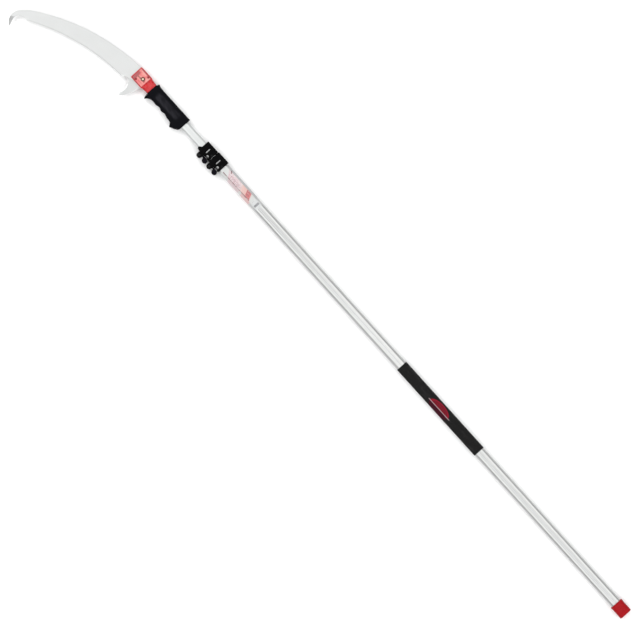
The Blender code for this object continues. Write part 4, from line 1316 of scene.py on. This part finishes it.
    def lever(self) -> Piece:
        """The cam lever with its thin neck and a ridged lobe to lift it by."""
        cam = (self.axle[0], self.axle[1] - self.cam_throw)
        top = self.belly + self.lever_rise
        lobe = (self.axle[0] - self.lever_reach, top + self.lobe_seat * self.lobe_radius)
        neck = top + self.neck_depth
        cam_end = -180 + math.degrees(math.asin((cam[1] - top) / self.cam_radius))
        lobe_start = 180 + math.degrees(math.asin(self.lobe_seat))
        gap = (lobe[0] + self.lobe_radius, cam[0] - self.cam_radius)
        middle, reach = sum(gap) / 2, (gap[1] - gap[0]) * 0.30
        outline = arc(lobe, self.lobe_radius, lobe_start, 12, 40)
        side = neck + 0.0008
        outline += spline([(middle - reach, side), (middle, neck), (middle + reach, side)], 5)
        outline += arc(cam, self.cam_radius, 168, cam_end, 44)
        piece = prism(f"{self.name}_lever_moulded", Axis.Z, outline, -self.half_lever, self.half_lever)
        half_chord = self.lobe_radius * math.sqrt(1 - self.lobe_seat**2)
        paddle = arc(lobe, self.lobe_radius - 0.0002, 180, 0, 32)
        paddle += [(lobe[0] + half_chord, top + 0.0004), (lobe[0] - half_chord, top + 0.0004)]
        work(piece, prism("paddle", Axis.Z, paddle, -self.half_lobe, self.half_lobe), how=Joining.ADD)
        grooves = [
            prism(f"groove_{number}", Axis.Z, circle(middle, self.groove_radius, 16), -0.02, 0.02)
            for number, middle in enumerate(arc(lobe, self.lobe_radius + 0.0004, 45, 125, 4))
        ]
        hole = prism("hole", Axis.Z, circle(self.axle, self.axle_radius + TOUCH), -0.02, 0.02)
        mould(work(piece, hole, *grooves), 0.00036, 3, 0.5)
        return fit(piece, LEVER_NYLON, self.bodies[1], f"{self.name}_lever")

    def pad(self) -> Piece:
        """The block that the cam presses on the tube."""
        box = Box.of(f"{self.name}_pad")
        block = rectangle((box.low.x, box.low.y), (box.high.x, box.high.y))
        piece = prism(f"{self.name}_pad_moulded", Axis.Z, block, box.low.z, box.high.z)
        tube = prism("saddle", Axis.X, self.slid.grown(TOUCH).outline(), box.low.x - 0.01, box.high.x + 0.01)
        mould(work(piece, tube), 0.0003, 2, 0.4)
        return fit(piece, PAD_NYLON, self.bodies[2], f"{self.name}_pad")

    def hardware(self) -> list[Piece]:
        """The axle with its clip, and the two collar screws."""
        axle, clip = Box.of(f"{self.name}_axle"), Box.of(f"{self.name}_clip")
        head, base = axle.size.x / 2, self.ear_side + TOUCH
        r = self.axle_radius
        profile = [(axle.low.z, r - 0.0006), (axle.low.z + 0.0006, r), (base, r), (base, head - 0.0003)]
        profile += [(base + 0.0003, head), (base + 0.0009, head), (base + 0.0013, head - 0.0004)]
        profile += [(axle.high.z, head - 0.0012), (axle.high.z, 0.0012), (axle.high.z - 0.0003, 0.0010)]
        pin = lathe(f"{self.name}_pin", Axis.Z, self.axle, profile)
        ring = arc(self.axle, clip.size.x / 2, 122, 418, 40) + arc(self.axle, r + 0.0002, 418, 122, 30)
        middle = clip.centre.z
        slim = moved_out(ring, -0.00015)
        rim = clip.low.z + 0.0002
        layers = [(clip.low.z, slim), (rim, ring), (2 * middle - rim, ring), (clip.high.z, slim)]
        keeper = loft(f"{self.name}_keeper", [placed(Axis.Z, outline, z) for z, outline in layers])
        pieces = [
            fit(pin, BLACK_STEEL, self.bodies[0], f"{self.name}_axle"),
            fit(keeper, BLACK_STEEL, self.bodies[0], f"{self.name}_clip"),
        ]
        for side, node in ((Side.LEFT, "left"), (Side.RIGHT, "right")):
            box = Box.of(f"{self.name}_screw_{node}")
            face, tip = (box.high.z, box.low.z) if side is Side.LEFT else (box.low.z, box.high.z)
            screw = cross_screw(f"{self.name}_{node}_screw", Axis.Z, box.spot, face, tip)
            pieces.append(fit(screw, BLACK_STEEL, self.bodies[0], f"{self.name}_screw_{node}"))
        return pieces

    def build(self) -> list[Piece]:
        """Every piece of the clamp."""
        return [self.collar(), self.lever(), self.pad(), *self.hardware()]


def cross_screw(name: str, axis: Axis, centre: Point, face: float, tip: float, head: float = 0.0014) -> Piece:
    """A pan-headed screw with a cross recess.

    Args:
        name: The screw's name.
        axis: The axis that it lies along.
        centre: Where its axis stands in the plane across it.
        face: Where the top of its head is along the axis.
        tip: Where its point is.
        head: How thick its head is.

    Returns:
        The screw.
    """
    down = math.copysign(1.0, tip - face)
    radius, shank = 0.0034, 0.0016
    profile = [(face, 0.0016), (face + down * 0.00015, 0.0024), (face + down * 0.0005, radius - 0.0002)]
    profile += [(face + down * 0.0008, radius), (face + down * head, radius), (face + down * head, shank)]
    profile += [(tip - down * 0.0006, shank), (tip, shank * 0.6)]
    screw = lathe(name, axis, centre, profile, 32)
    low, high = sorted((face - down * 0.001, face + down * 0.0009))
    bars = []
    for number, (across, wide) in enumerate(((0.0017, 0.0004), (0.0004, 0.0017))):
        corner = rectangle((centre[0] - across, centre[1] - wide), (centre[0] + across, centre[1] + wide))
        bars.append(prism(f"{name}_bar_{number}", axis, corner, low, high))
    return work(screw, *bars)


def clipped(share: float) -> float:
    """A number held between 0 and 1."""
    return min(1.0, max(0.0, share))


@dataclass
class PistolHandle:
    """The rubber handle: finger waves, flared ends and slanting ribs on both cheeks, with its two screws."""

    power: float = 2.6
    points: int = 132
    spacing: float = 0.00095
    rib_pitch: float = 0.0062
    rib_depth: float = 0.00055
    rib_start: float = 0.034
    rib_end: float = 0.136
    rib_fade: float = 0.006
    screw_places: Point = (0.060, 0.130)
    screw_sunk: float = 0.0035
    stations: tuple[tuple[float, float, float, float], ...] = (
        (0.0000, -0.0250, 0.0185, 0.0145),
        (0.0015, -0.0266, 0.0240, 0.0160),
        (0.0050, -0.0262, 0.0290, 0.0170),
        (0.0090, -0.0257, 0.0315, 0.0170),
        (0.0140, -0.0257, 0.0348, 0.0170),
        (0.0200, -0.0257, 0.0376, 0.0168),
        (0.0250, -0.0257, 0.0403, 0.0165),
        (0.0295, -0.0257, 0.0428, 0.0162),
        (0.0330, -0.0257, 0.0400, 0.0165),
        (0.0370, -0.0257, 0.0345, 0.0168),
        (0.0420, -0.0257, 0.0305, 0.0170),
        (0.0490, -0.0257, 0.0286, 0.0170),
        (0.0570, -0.0257, 0.0283, 0.0170),
        (0.0650, -0.0257, 0.0266, 0.0170),
        (0.0740, -0.0257, 0.0247, 0.0170),
        (0.0880, -0.0257, 0.0272, 0.0170),
        (0.1030, -0.0257, 0.0232, 0.0170),
        (0.1170, -0.0257, 0.0260, 0.0170),
        (0.1310, -0.0257, 0.0252, 0.0170),
        (0.1390, -0.0257, 0.0262, 0.0170),
        (0.1460, -0.0260, 0.0290, 0.0170),
        (0.1515, -0.0270, 0.0332, 0.0170),
        (0.1557, -0.0288, 0.0378, 0.0168),
        (0.1585, -0.0300, 0.0410, 0.0166),
        (0.1613, -0.0258, 0.0378, 0.0164),
        (0.1642, -0.0200, 0.0245, 0.0150),
    )

    start: float = field(init=False)

    def __post_init__(self) -> None:
        """Takes the handle's rear end from the model."""
        self.start = Box.of("handle").low.x

    def _between(self, along: float) -> tuple[float, float, float]:
        """Back, belly and half width at a distance from the rear end, eased between the stations."""
        places = [station[0] for station in self.stations]
        last = len(places) - 2
        i = min(max(j for j, place in enumerate(places) if place <= along + 1e-9), last)
        step = places[i + 1] - places[i]
        t = (along - places[i]) / step
        values = []
        for column in (1, 2, 3):
            at = [station[column] for station in self.stations]
            slopes = [self._slope(places, at, j) for j in (i, i + 1)]
            start = (2 * t**3 - 3 * t**2 + 1) * at[i] + (t**3 - 2 * t**2 + t) * step * slopes[0]
            values.append(start + (3 * t**2 - 2 * t**3) * at[i + 1] + (t**3 - t**2) * step * slopes[1])
        return tuple(values)

    @staticmethod
    def _slope(places: list[float], at: list[float], j: int) -> float:
        """A slope at a station that lets the curve neither overshoot nor ripple."""
        if j in (0, len(places) - 1):
            return 0.0
        before = (at[j] - at[j - 1]) / (places[j] - places[j - 1])
        after = (at[j + 1] - at[j]) / (places[j + 1] - places[j])
        return 0.0 if before * after <= 0 else 2 * before * after / (before + after)

    def _rib(self, along: float, y: float, cheek: float) -> float:
        """How deep the surface is cut by the slanting ribs at one point."""
        from_ends = ((along - self.rib_start) / self.rib_fade, (self.rib_end - along) / self.rib_fade)
        ends, fade = math.prod(map(clipped, from_ends)), clipped((cheek - 0.80) / 0.12)
        wave = 0.5 + 0.5 * math.sin(math.tau * (self.start + along + y) / self.rib_pitch)
        return self.rib_depth * ends * fade * wave**2

    def grip(self) -> Piece:
        """The handle's shell, with a bore for the tube."""
        box = Box.of("handle")
        steps = round(box.size.x / self.spacing)
        rings = []
        for step in range(steps + 1):
            along = box.size.x * step / steps
            back, belly, half_width = self._between(along)
            ring = []
            for number in range(self.points):
                angle = math.tau * number / self.points
                y_share = math.copysign(abs(math.cos(angle)) ** (2 / self.power), math.cos(angle))
                z_share = math.copysign(abs(math.sin(angle)) ** (2 / self.power), math.sin(angle))
                y = (back + belly) / 2 + y_share * (belly - back) / 2
                sunk = 1 - self._rib(along, y, abs(z_share)) / half_width
                ring.append(Vector((box.low.x + along, y, z_share * half_width * sunk)))
            rings.append(ring)
        bore = Oval.of("saw_tube").grown(TOUCH)
        piece = loft("handle_grip", rings, sharp=60)
        tools = [prism("handle_bore", Axis.X, bore.outline(24), box.low.x - 0.01, box.high.x + 0.01)]
        for place in self.screw_places:
            centre = (box.low.x + place, 0.0)
            surface = self._between(place)[0]
            hole = circle(centre, 0.0019)
            tools.append(prism(f"handle_hole_{place}", Axis.Y, hole, surface - 0.01, -0.012))
            rim = surface + self.screw_sunk + TOUCH
            profile = [(surface - 0.002, 0.0046), (surface + 0.0006, 0.0038), (rim, 0.0038)]
            tools.append(lathe(f"handle_recess_{place}", Axis.Y, centre, profile))
        work(piece, *tools)
        start, end = box.low.x + self.rib_start, box.low.x + self.rib_end
        rubber = replace(HANDLE_RUBBER, start=start, end=end, pitch=self.rib_pitch)
        return fit(piece, rubber, Body.SAW, "handle")

    def screws(self) -> list[Piece]:
        """The two screws in the back of the handle."""
        pieces = []
        for node in ("handle_screw_rear", "handle_screw_front"):
            box = Box.of(node)
            screw = cross_screw(f"{node}_turned", Axis.Y, (box.centre.x, box.centre.z), box.low.y, box.high.y)
            pieces.append(fit(screw, FASTENER_STEEL, Body.SAW, node))
        return pieces

    def build(self) -> list[Piece]:
        """The grip and its screws."""
        return [self.grip(), *self.screws()]


@dataclass
class SawBlade:
    """The curved blade and the undercut hook, measured from the holder's front end."""

    thickness: float = 0.0018
    back_low: Point = (-0.0544, -0.0245)
    back_radius: float = 0.7493
    teeth_low: Point = (-0.0193, 0.0440)
    teeth_radius: float = 0.7554
    teeth_start: float = 0.026
    teeth_end: float = 0.378
    teeth: int = 80
    tooth_depth: float = 0.0034
    bevel_past_gullet: float = 0.0009
    tooth_shape: tuple[tuple[float, float, float, float], ...] = (
        (0.93, -0.50, 0.12, 1.0),
        (0.62, 0.02, 0.50, 0.5),
        (0.28, 0.50, 0.80, 0.0),
        (0.07, -0.46, 0.12, 1.0),
    )
    tooth_set: float = 0.00030
    tang_half: float = 0.009
    heel: tuple[Point, ...] = (
        (0.019, 0.0400),
        (0.010, 0.0355),
        (-0.001, 0.0325),
        (-0.008, 0.0300),
        (-0.032, 0.0140),
    )
    tang_back: tuple[Point, ...] = ((-0.036, -0.0120), (-0.020, -0.0225))
    tip: tuple[Point, ...] = (
        (0.0390, -0.0090),
        (0.0490, 0.0060),
        (0.0525, 0.0230),
        (0.0490, 0.0370),
        (0.0410, 0.0490),
        (0.0270, 0.0590),
        (0.0340, 0.0420),
        (0.0380, 0.0280),
        (0.0340, 0.0130),
        (0.0240, 0.0060),
        (0.0120, 0.0022),
    )
    tip_start: float = 0.0195
    hook_root: tuple[Point, ...] = (
        (-0.0470, 0.0060),
        (-0.0410, -0.0080),
        (-0.0210, -0.0080),
        (-0.0080, 0.0140),
        (0.0030, 0.0290),
    )
    hook_claw: tuple[Point, ...] = (
        (0.0090, 0.0350),
        (-0.0030, 0.0410),
        (-0.0130, 0.0570),
        (-0.0160, 0.0730),
        (-0.0130, 0.0870),
        (-0.0155, 0.0970),
        (-0.0275, 0.0870),
        (-0.0370, 0.0680),
        (-0.0420, 0.0530),
        (-0.0470, 0.0310),
    )
    head: float = field(init=False)
    tang_rear: float = field(init=False)
    tang_widens: float = field(init=False)

    def __post_init__(self) -> None:
        """Takes the holder's front end from the model, and where the tang ends and widens."""
        self.head = Box.of("holder_left").high.x
        self.tang_rear = Box.of("saw_blade").low.x - self.head
        self.tang_widens = Box.of("saw_tube").high.x - self.head

    def from_head(self, points: Sequence[Point]) -> list[Point]:
        """Points measured from the holder's front end, in the model's frame."""
        return [(self.head + x, y) for x, y in points]

    @property
    def teeth_centre(self) -> Point:
        """The middle of the arc that the teeth stand on."""
        return (self.head + self.teeth_low[0], self.teeth_low[1] + self.teeth_radius)

    def arc_height(self, low: Point, radius: float, along: float) -> float:
        """Y of one of the edge arcs at a distance from the holder's front end."""
        return low[1] + radius - math.sqrt(radius**2 - (along - low[0]) ** 2)

    def back(self, steps: int = 60) -> list[Point]:
        """The back edge, from the holder to the start of the tip."""
        start, end = self.tang_back[-1][0] + 0.006, self.teeth_end + self.tip_start
        alongs = [start + (end - start) * step / steps for step in range(steps + 1)]
        heights = [self.arc_height(self.back_low, self.back_radius, along) for along in alongs]
        return self.from_head(list(zip(alongs, heights)))

    def _tooth_angles(self) -> Point:
        """The angles of the first and the last tooth on their arc."""
        first, last = (
            math.degrees(math.asin((along - self.teeth_low[0]) / self.teeth_radius)) - 90
            for along in (self.teeth_start, self.teeth_end)
        )
        return first, last

    def _layers(self) -> tuple[list[Point], list[float], list[float], list[float], list[Point]]:
        """The blade's outline with what each point of it needs.

        Returns:
            The outline, how far each point's flat starts inside it, half the edge's thickness there, how far
            the edge is set aside, and the inner line of the teeth in the order of the outline's last points.
        """
        half = self.thickness / 2
        tang = self.from_head(self.heel)
        tang += self.from_head([(self.tang_widens, self.tang_half), (self.tang_rear, self.tang_half)])
        tang += self.from_head([(self.tang_rear, -self.tang_half), (self.tang_widens, -self.tang_half)])
        tang += self.from_head(self.tang_back)
        back = self.back()
        end = (self.head + self.teeth_end, self.arc_height(self.teeth_low, self.teeth_radius, self.teeth_end))
        tip = [(end[0] + x, end[1] + y) for x, y in self.tip]
        outer, inner = spline(tip[:6]), spline(tip[5:])[1:]
        outline = [*tang, *back, *outer, *inner]
        insets = [0.0003] * len(tang) + [0.0006] * (len(back) + len(outer)) + [0.0010] * len(inner)
        edges = [half - 0.0002] * len(tang) + [half * 0.55] * (len(back) + len(outer))
        edges += [0.00018] * len(inner)
        sets = [0.0] * len(outline)
        middle, depth = self.teeth_centre, self.tooth_depth
        first, last = self._tooth_angles()
        pitch = (last - first) / self.teeth
        inner_radius = self.teeth_radius + depth / 2 + self.bevel_past_gullet
        line: list[Point] = []
        for tooth in reversed(range(self.teeth)):
            root = first + pitch * tooth
            for share, rise, edge, aside in self.tooth_shape:
                angle = root + pitch * share
                outline += arc(middle, self.teeth_radius + depth * rise, angle, angle, 1)[:1]
                line += arc(middle, inner_radius, angle, angle, 1)[:1]
                edges.append(half * edge)
                side = Side.LEFT if (tooth + round(share)) % 2 else Side.RIGHT
                sets.append(side.value * self.tooth_set * aside)
        return outline, insets, edges, sets, line

    def blade(self) -> Piece:
        """The ground blade: set and bevelled teeth, a chamfered back and a sharpened tip."""
        outline, insets, edges, sets, line = self._layers()
        spare = len(outline) - len(line)
        flat = moved_out(outline, [-inset for inset in insets] + [0.0] * len(line))[:spare] + line
        half = self.thickness / 2
        rings = [
            placed(Axis.Z, flat, half),
            [Vector((x, y, aside + edge)) for (x, y), edge, aside in zip(outline, edges, sets)],
            [Vector((x, y, aside - edge)) for (x, y), edge, aside in zip(outline, edges, sets)],
            placed(Axis.Z, flat, -half),
        ]
        arc_of_teeth = (self.teeth_centre, self.teeth_radius, self.tooth_depth)
        finish = GroundSteel("ground_blade", Slot.BLADE_STEEL, (0.69, 0.70, 0.695), *arc_of_teeth)
        return fit(loft("blade_ground", rings, sharp=14), finish, Body.SAW, "saw_blade")

    def hook_outline(self) -> list[Point]:
        """The undercut hook's root and claw."""
        claw = self.from_head(self.hook_claw)
        return self.from_head(self.hook_root) + spline(claw[:6]) + spline(claw[5:])[1:]

    def hook(self) -> Piece:
        """The undercut hook: chamfered all round and sharpened on its inner curve."""
        box = Box.of("undercut_hook")
        outline = self.hook_outline()
        root, claw = len(self.hook_root), len(spline(self.hook_claw[:6]))
        rest = len(outline) - root - claw
        half, middle = box.size.z / 2, box.centre.z
        insets = [0.0006] * root + [0.0022] * claw + [0.0008] * rest
        edges = [half - 0.0004] * root + [0.00025] * claw + [half - 0.0005] * rest
        flat = moved_out(outline, [-inset for inset in insets])
        rings = [
            placed(Axis.Z, flat, middle + half),
            [Vector((x, y, middle + edge)) for (x, y), edge in zip(outline, edges)],
            [Vector((x, y, middle - edge)) for (x, y), edge in zip(outline, edges)],
            placed(Axis.Z, flat, middle - half),
        ]
        finish = GroundSteel(
            "ground_hook", Slot.BLADE_STEEL, (0.60, 0.61, 0.605), (self.head + 0.06, 0.07), 0.0, 0.001, 0.40
        )
        return fit(loft("hook_ground", rings, sharp=14), finish, Body.SAW, "undercut_hook")

    def build(self) -> list[Piece]:
        """The blade and its hook."""
        return [self.blade(), self.hook()]


@dataclass
class BladeHolder:
    """The red holder: two halves with a seam, a printed plate on each cheek, and the fasteners."""

    blade: SawBlade
    seam: float = 0.00015
    on_tube: float = 0.0207
    stations: tuple[tuple[float, float, float, float], ...] = (
        (0.0000, 0.0200, 0.0145, 0.0100),
        (0.0030, 0.0212, 0.0152, 0.0105),
        (0.0236, 0.0236, 0.0155, 0.0105),
        (0.0252, 0.0236, 0.0145, 0.0095),
        (0.0266, 0.0252, 0.0120, 0.0060),
        (0.0768, 0.0254, 0.0112, 0.0060),
        (0.0795, 0.0241, 0.0098, 0.0050),
    )
    rib_places: tuple[float, ...] = (0.0060, 0.0105, 0.0150, 0.0195)
    groove_height: float = 0.0420
    groove_step: float = 0.000312
    groove_width: float = 0.0296
    groove_length: float = 0.0014
    cheek: float = 0.0112
    plate_low: Point = (-0.0508, -0.0222)
    plate_high: Point = (-0.0030, 0.0222)
    plate_sunk: float = 0.0008
    bolt: Point = (-0.0342, 0.0)

    def half(self, side: Side) -> Piece:
        """One half of the holder."""
        name = f"holder_{side.name.lower()}"
        box, sign = Box.of(name), side.value
        start, head = box.low.x, self.blade.head
        rings = [
            placed(Axis.X, Oval(2 * height, 2 * width, corner).outline(12), start + along)
            for along, height, width, corner in self.stations
        ]
        piece = loft(f"{name}_moulded", rings)
        far = 0.06
        beyond_seam = rectangle((start - far, -far), (head + far, far))
        work(piece, prism("other_half", Axis.Z, beyond_seam, sign * self.seam, -sign * far))
        tube = Oval.of("saw_tube").grown(TOUCH)
        room = sign * (self.blade.thickness / 2 + TOUCH)
        slot = [point for point in self.blade.from_head(self.blade.heel) if point[0] < head + 0.012]
        widens, half = self.blade.tang_widens - 0.001, self.blade.tang_half
        slot += self.blade.from_head([(widens, half), (widens, -half)])
        slot += self.blade.from_head(self.blade.tang_back)
        slot += [point for point in self.blade.back() if point[0] < head + 0.012]
        tools = [
            prism("tube_bore", Axis.X, tube.outline(), start - 0.01, start + self.on_tube + TOUCH),
            prism("blade_room", Axis.Z, moved_out(slot, TOUCH), -abs(room), abs(room)),
        ]
        if side is Side.RIGHT:
            hook = Box.of("undercut_hook")
            hook_room = moved_out(self.blade.hook_outline(), TOUCH)
            tools.append(prism("hook_room", Axis.Z, hook_room, hook.low.z - TOUCH, 0.0))
        bolt = self.blade.from_head([self.bolt])[0]
        tools.append(prism("bolt_hole", Axis.Z, circle(bolt, 0.0042), -far, far))
        if side is Side.LEFT:
            for node in ("holder_screw", "hook_screw"):
                screw = Box.of(node)
                tools.append(prism(f"{node}_hole", Axis.Z, circle(screw.spot, 0.0019), -far, far))
                recess = circle(screw.spot, 0.0039)
                tools.append(prism(f"{node}_recess", Axis.Z, recess, screw.high.z - 0.0018, far))
        tools += self._grooves(start, sign)
        work(piece, *tools)
        mould(piece, 0.00045, 3, 0.4)
        return fit(piece, HOLDER_RED, Body.SAW, name)

    def _grooves(self, start: float, sign: int) -> list[Piece]:
        """Cutters for the ferrule's shallow grooves and for the plate's seat on the cheek."""
        cutters = []
        for number, place in enumerate(self.rib_places):
            outer = Oval(0.07, 0.05, 0.011).outline(12)
            height = self.groove_height + self.groove_step * number
            inner = Oval(height, self.groove_width, 0.0098).outline(12)
            low, high = start + place, start + place + self.groove_length
            corners = ((outer, low), (outer, high), (inner, high), (inner, low))
            rings = [placed(Axis.X, ring, x) for ring, x in corners]
            cutters.append(loft(f"ferrule_groove_{number}", rings, looped=True))
        seat = self._plate_outline(0.0006, 0.0035)
        cutters.append(prism("plate_seat", Axis.Z, seat, sign * (self.cheek - self.plate_sunk), sign * 0.05))
        return cutters

    def _plate_middle(self) -> tuple[Point, Point]:
        """The middle of the plate, and half its sides."""
        low, high = map(Vector, self.blade.from_head([self.plate_low, self.plate_high]))
        return tuple((low + high) / 2), tuple((high - low) / 2)

    def _plate_outline(self, larger: float, corner: float) -> list[Point]:
        """The plate's outline, with its sides made larger and its corners rounded."""
        middle, half = self._plate_middle()
        shape = Oval(2 * half[0] + larger, 2 * half[1] + larger, corner).outline(8)
        return [(middle[0] + x, middle[1] + y) for x, y in shape]

    def plate(self, side: Side) -> Piece:
        """The thin printed plate on one cheek, with holes for the fasteners."""
        outline = self._plate_outline(0.0, 0.0033)
        floor, top = side.value * (self.cheek - self.plate_sunk + 0.0001), side.value * (self.cheek - 0.0001)
        slim = moved_out(outline, -0.0002)
        layers = [(floor, outline), (top - side.value * 0.00015, outline), (top, slim)]
        piece = loft(f"holder_plate_{side.name.lower()}", [placed(Axis.Z, ring, z) for z, ring in layers])
        bolt = self.blade.from_head([self.bolt])[0]
        tools = [prism("plate_bolt", Axis.Z, circle(bolt, 0.0043), -0.05, 0.05)]
        if side is Side.LEFT:
            for node in ("holder_screw", "hook_screw"):
                tools.append(prism(f"plate_{node}", Axis.Z, circle(Box.of(node).spot, 0.0041), -0.05, 0.05))
        work(piece, *tools)
        return fit(piece, HolderPlate("holder_print", Slot.RED_PLASTIC, *self._plate_middle()), Body.SAW)

    def fasteners(self) -> list[Piece]:
        """The blade bolt with its nut, and the two screws that close the holder."""
        box, nut = Box.of("blade_bolt"), Box.of("blade_bolt_nut")
        centre = (box.centre.x, nut.centre.y)
        head, shank = box.size.x / 2, 0.0039
        top, base = box.high.z, box.high.z - 0.0036
        profile = [(box.low.z, shank - 0.0006), (box.low.z + 0.0006, shank), (base, shank)]
        profile.append((base, head - 0.0002))
        profile += [(base + 0.0004, head), (base + 0.0012, head - 0.0002), (base + 0.0022, head - 0.0010)]
        profile += [(base + 0.0031, head - 0.0024), (top, head - 0.0036)]
        steel = SocketBolt("bolt_plate", Slot.ZINC_STEEL, (0.78, 0.66, 0.50), centre=centre)
        bolt = lathe("blade_bolt_turned", Axis.Z, centre, profile, 48)
        work(bolt, prism("hex_socket", Axis.Z, circle(centre, 0.0026, 6), top - 0.0022, top + 0.002))
        body = prism("blade_nut_turned", Axis.Z, circle(centre, nut.size.x / 2, 6), nut.low.z, nut.high.z)
        wide = nut.size.x / 2
        profile = [(nut.low.z, wide * 0.87), (nut.low.z + 0.0009, wide * 1.01)]
        profile += [(nut.high.z - 0.0003, wide * 1.01), (nut.high.z, wide * 0.97)]
        work(body, lathe("nut_chamfer", Axis.Z, centre, profile), how=Joining.KEEP)
        thread = circle(centre, shank + 0.0002)
        work(body, prism("nut_thread", Axis.Z, thread, nut.low.z - 0.01, nut.high.z + 0.01))
        pieces = [
            fit(bolt, steel, Body.SAW, "blade_bolt"),
            fit(body, FASTENER_STEEL, Body.SAW, "blade_bolt_nut"),
        ]
        for node in ("holder_screw", "hook_screw"):
            screw = Box.of(node)
            turned = cross_screw(f"{node}_turned", Axis.Z, screw.spot, screw.high.z, screw.low.z)
            pieces.append(fit(turned, SCREW_RED, Body.SAW, node))
        return pieces

    def build(self) -> list[Piece]:
        """Both halves, their plates and the fasteners."""
        return [*map(self.half, Side), *map(self.plate, Side), *self.fasteners()]


@dataclass
class Studio:
    """A pale floor, soft lights and the camera that looks straight down on the saw."""

    centre: Point = (1.4394, 0.1016)
    across: float = 2.176
    distance: float = 20.0
    lens: float = 331.0
    right: Point = (-0.67011, -0.74226)
    floor_size: float = 9.0
    zenith: float = 0.95
    horizon: float = 0.35
    softboxes: tuple[tuple[str, Colour, Point, float], ...] = (
        ("teeth", (0.5, 2.8, 3.4), (7.0, 1.5), 1.2),
        ("back", (0.5, -2.8, 3.4), (7.0, 1.5), 1.2),
        ("butt", (-4.2, 0.0, 3.6), (4.0, 1.6), 3.6),
        ("tip", (4.2, 0.0, 3.6), (4.0, 1.6), 3.6),
        ("top", (-0.2, -0.1, 5.0), (1.1, 1.6), 1.1),
    )

    def floor(self) -> Piece:
        """The floor that the saw rests on."""
        mesh = bpy.data.meshes.new("studio_floor")
        build = bmesh.new()
        bmesh.ops.create_grid(build, x_segments=24, y_segments=24, size=self.floor_size)
        build.to_mesh(mesh)
        build.free()
        piece = bpy.data.objects.new("studio_floor", mesh)
        bpy.context.scene.collection.objects.link(piece)
        piece.location = (*self.centre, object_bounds()[0].z - 0.0002)
        mesh.materials.append(PaperFloor("pale_floor", Slot.LABEL_FILM, (0.90, 0.90, 0.90)).material())
        piece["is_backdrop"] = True
        return piece

    def sky(self) -> None:
        """A soft even light from all round, brighter from above."""
        world = bpy.data.worlds.new("studio_light")
        world.use_nodes = True
        bpy.context.scene.world = world
        nodes, links = world.node_tree.nodes, world.node_tree.links
        place = nodes.new("ShaderNodeTexCoord")
        split = nodes.new("ShaderNodeSeparateXYZ")
        ramp = nodes.new("ShaderNodeMapRange")
        ramp.interpolation_type = "SMOOTHSTEP"
        levels = {"From Min": 0.05, "From Max": 0.95, "To Min": self.horizon, "To Max": self.zenith}
        for name, level in levels.items():
            ramp.inputs[name].default_value = level
        nodes["Background"].inputs["Color"].default_value = (1.0, 1.0, 1.0, 1.0)
        links.new(place.outputs["Generated"], split.inputs[0])
        links.new(split.outputs["Z"], ramp.inputs["Value"])
        links.new(ramp.outputs["Result"], nodes["Background"].inputs["Strength"])

    def softbox(self, name: str, offset: Colour, size: Point, brightness: float) -> None:
        """One large lamp that faces the middle of the saw.

        Args:
            name: The lamp's name.
            offset: Where it stands from the middle of the picture.
            size: Its length along X, or across the pole where it stands off an end, and its other side.
            brightness: How bright its face is, where 1 is the sky's white.
        """
        place = Vector((*self.centre, 0.0)) + Vector(offset)
        data = bpy.data.lights.new(name, "AREA")
        data.shape = "RECTANGLE"
        data.size, data.size_y = size
        data.energy = brightness * 4 * size[0] * size[1]
        lamp = bpy.data.objects.new(name, data)
        bpy.context.scene.collection.objects.link(lamp)
        away = (place - Vector((*self.centre, 0.0))).normalized()
        long = Vector((0.0, 1.0, 0.0)) if abs(offset[0]) > 2 else Vector((1.0, 0.0, 0.0))
        turned = Matrix((long, away.cross(long).normalized(), away)).transposed().to_4x4()
        lamp.matrix_world = Matrix.Translation(place) @ turned
        lamp.visible_camera = False

    def camera(self) -> None:
        """The camera, level over the saw, with the pole slanting across the picture."""
        data = bpy.data.cameras.new("camera")
        data.lens = self.lens
        data.sensor_width = self.across / self.distance * self.lens
        data.clip_end = 60.0
        eye = bpy.data.objects.new("camera", data)
        bpy.context.scene.collection.objects.link(eye)
        right = Vector((*self.right, 0.0))
        up = Vector((0.0, 0.0, 1.0)).cross(right)
        turned = Matrix((right, up, Vector((0.0, 0.0, 1.0)))).transposed().to_4x4()
        eye.matrix_world = Matrix.Translation((*self.centre, self.distance)) @ turned
        bpy.context.scene.camera = eye

    def build(self) -> None:
        """The whole studio."""
        self.floor()
        self.sky()
        for name, offset, size, brightness in self.softboxes:
            self.softbox(f"softbox_{name}", offset, size, brightness)
        self.camera()
        bpy.context.scene.view_settings.view_transform = "Standard"


def main() -> None:
    """Builds every sub-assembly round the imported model, then the studio."""
    logging.basicConfig(level=logging.INFO, format="%(name)s: %(message)s")
    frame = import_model()
    hinges = {joint["name"]: tuple(joint["pos_m"][:2]) for joint in frame["joints"]}
    outer_axle, middle_axle = hinges["outer_lever_hinge"], hinges["middle_lever_hinge"]
    outer_bodies = (Body.OUTER, Body.OUTER_LEVER, Body.OUTER_PAD)
    middle_bodies = (Body.MIDDLE, Body.MIDDLE_LEVER, Body.MIDDLE_PAD)
    blade = SawBlade()
    assemblies = [
        HeldPole().build(),
        SlidingTubes().build(frame["nodes"]),
        CamClamp("outer_clamp", "outer_tube", "middle_tube", outer_bodies, outer_axle).build(),
        CamClamp("middle_clamp", "middle_tube", "saw_tube", middle_bodies, middle_axle, 0.009).build(),
        PistolHandle().build(),
        blade.build(),
        BladeHolder(blade).build(),
    ]
    log.info("%d pieces in %d sub-assemblies", sum(map(len, assemblies)), len(assemblies))
    Studio().build()


if __name__ == "__main__":
    main()
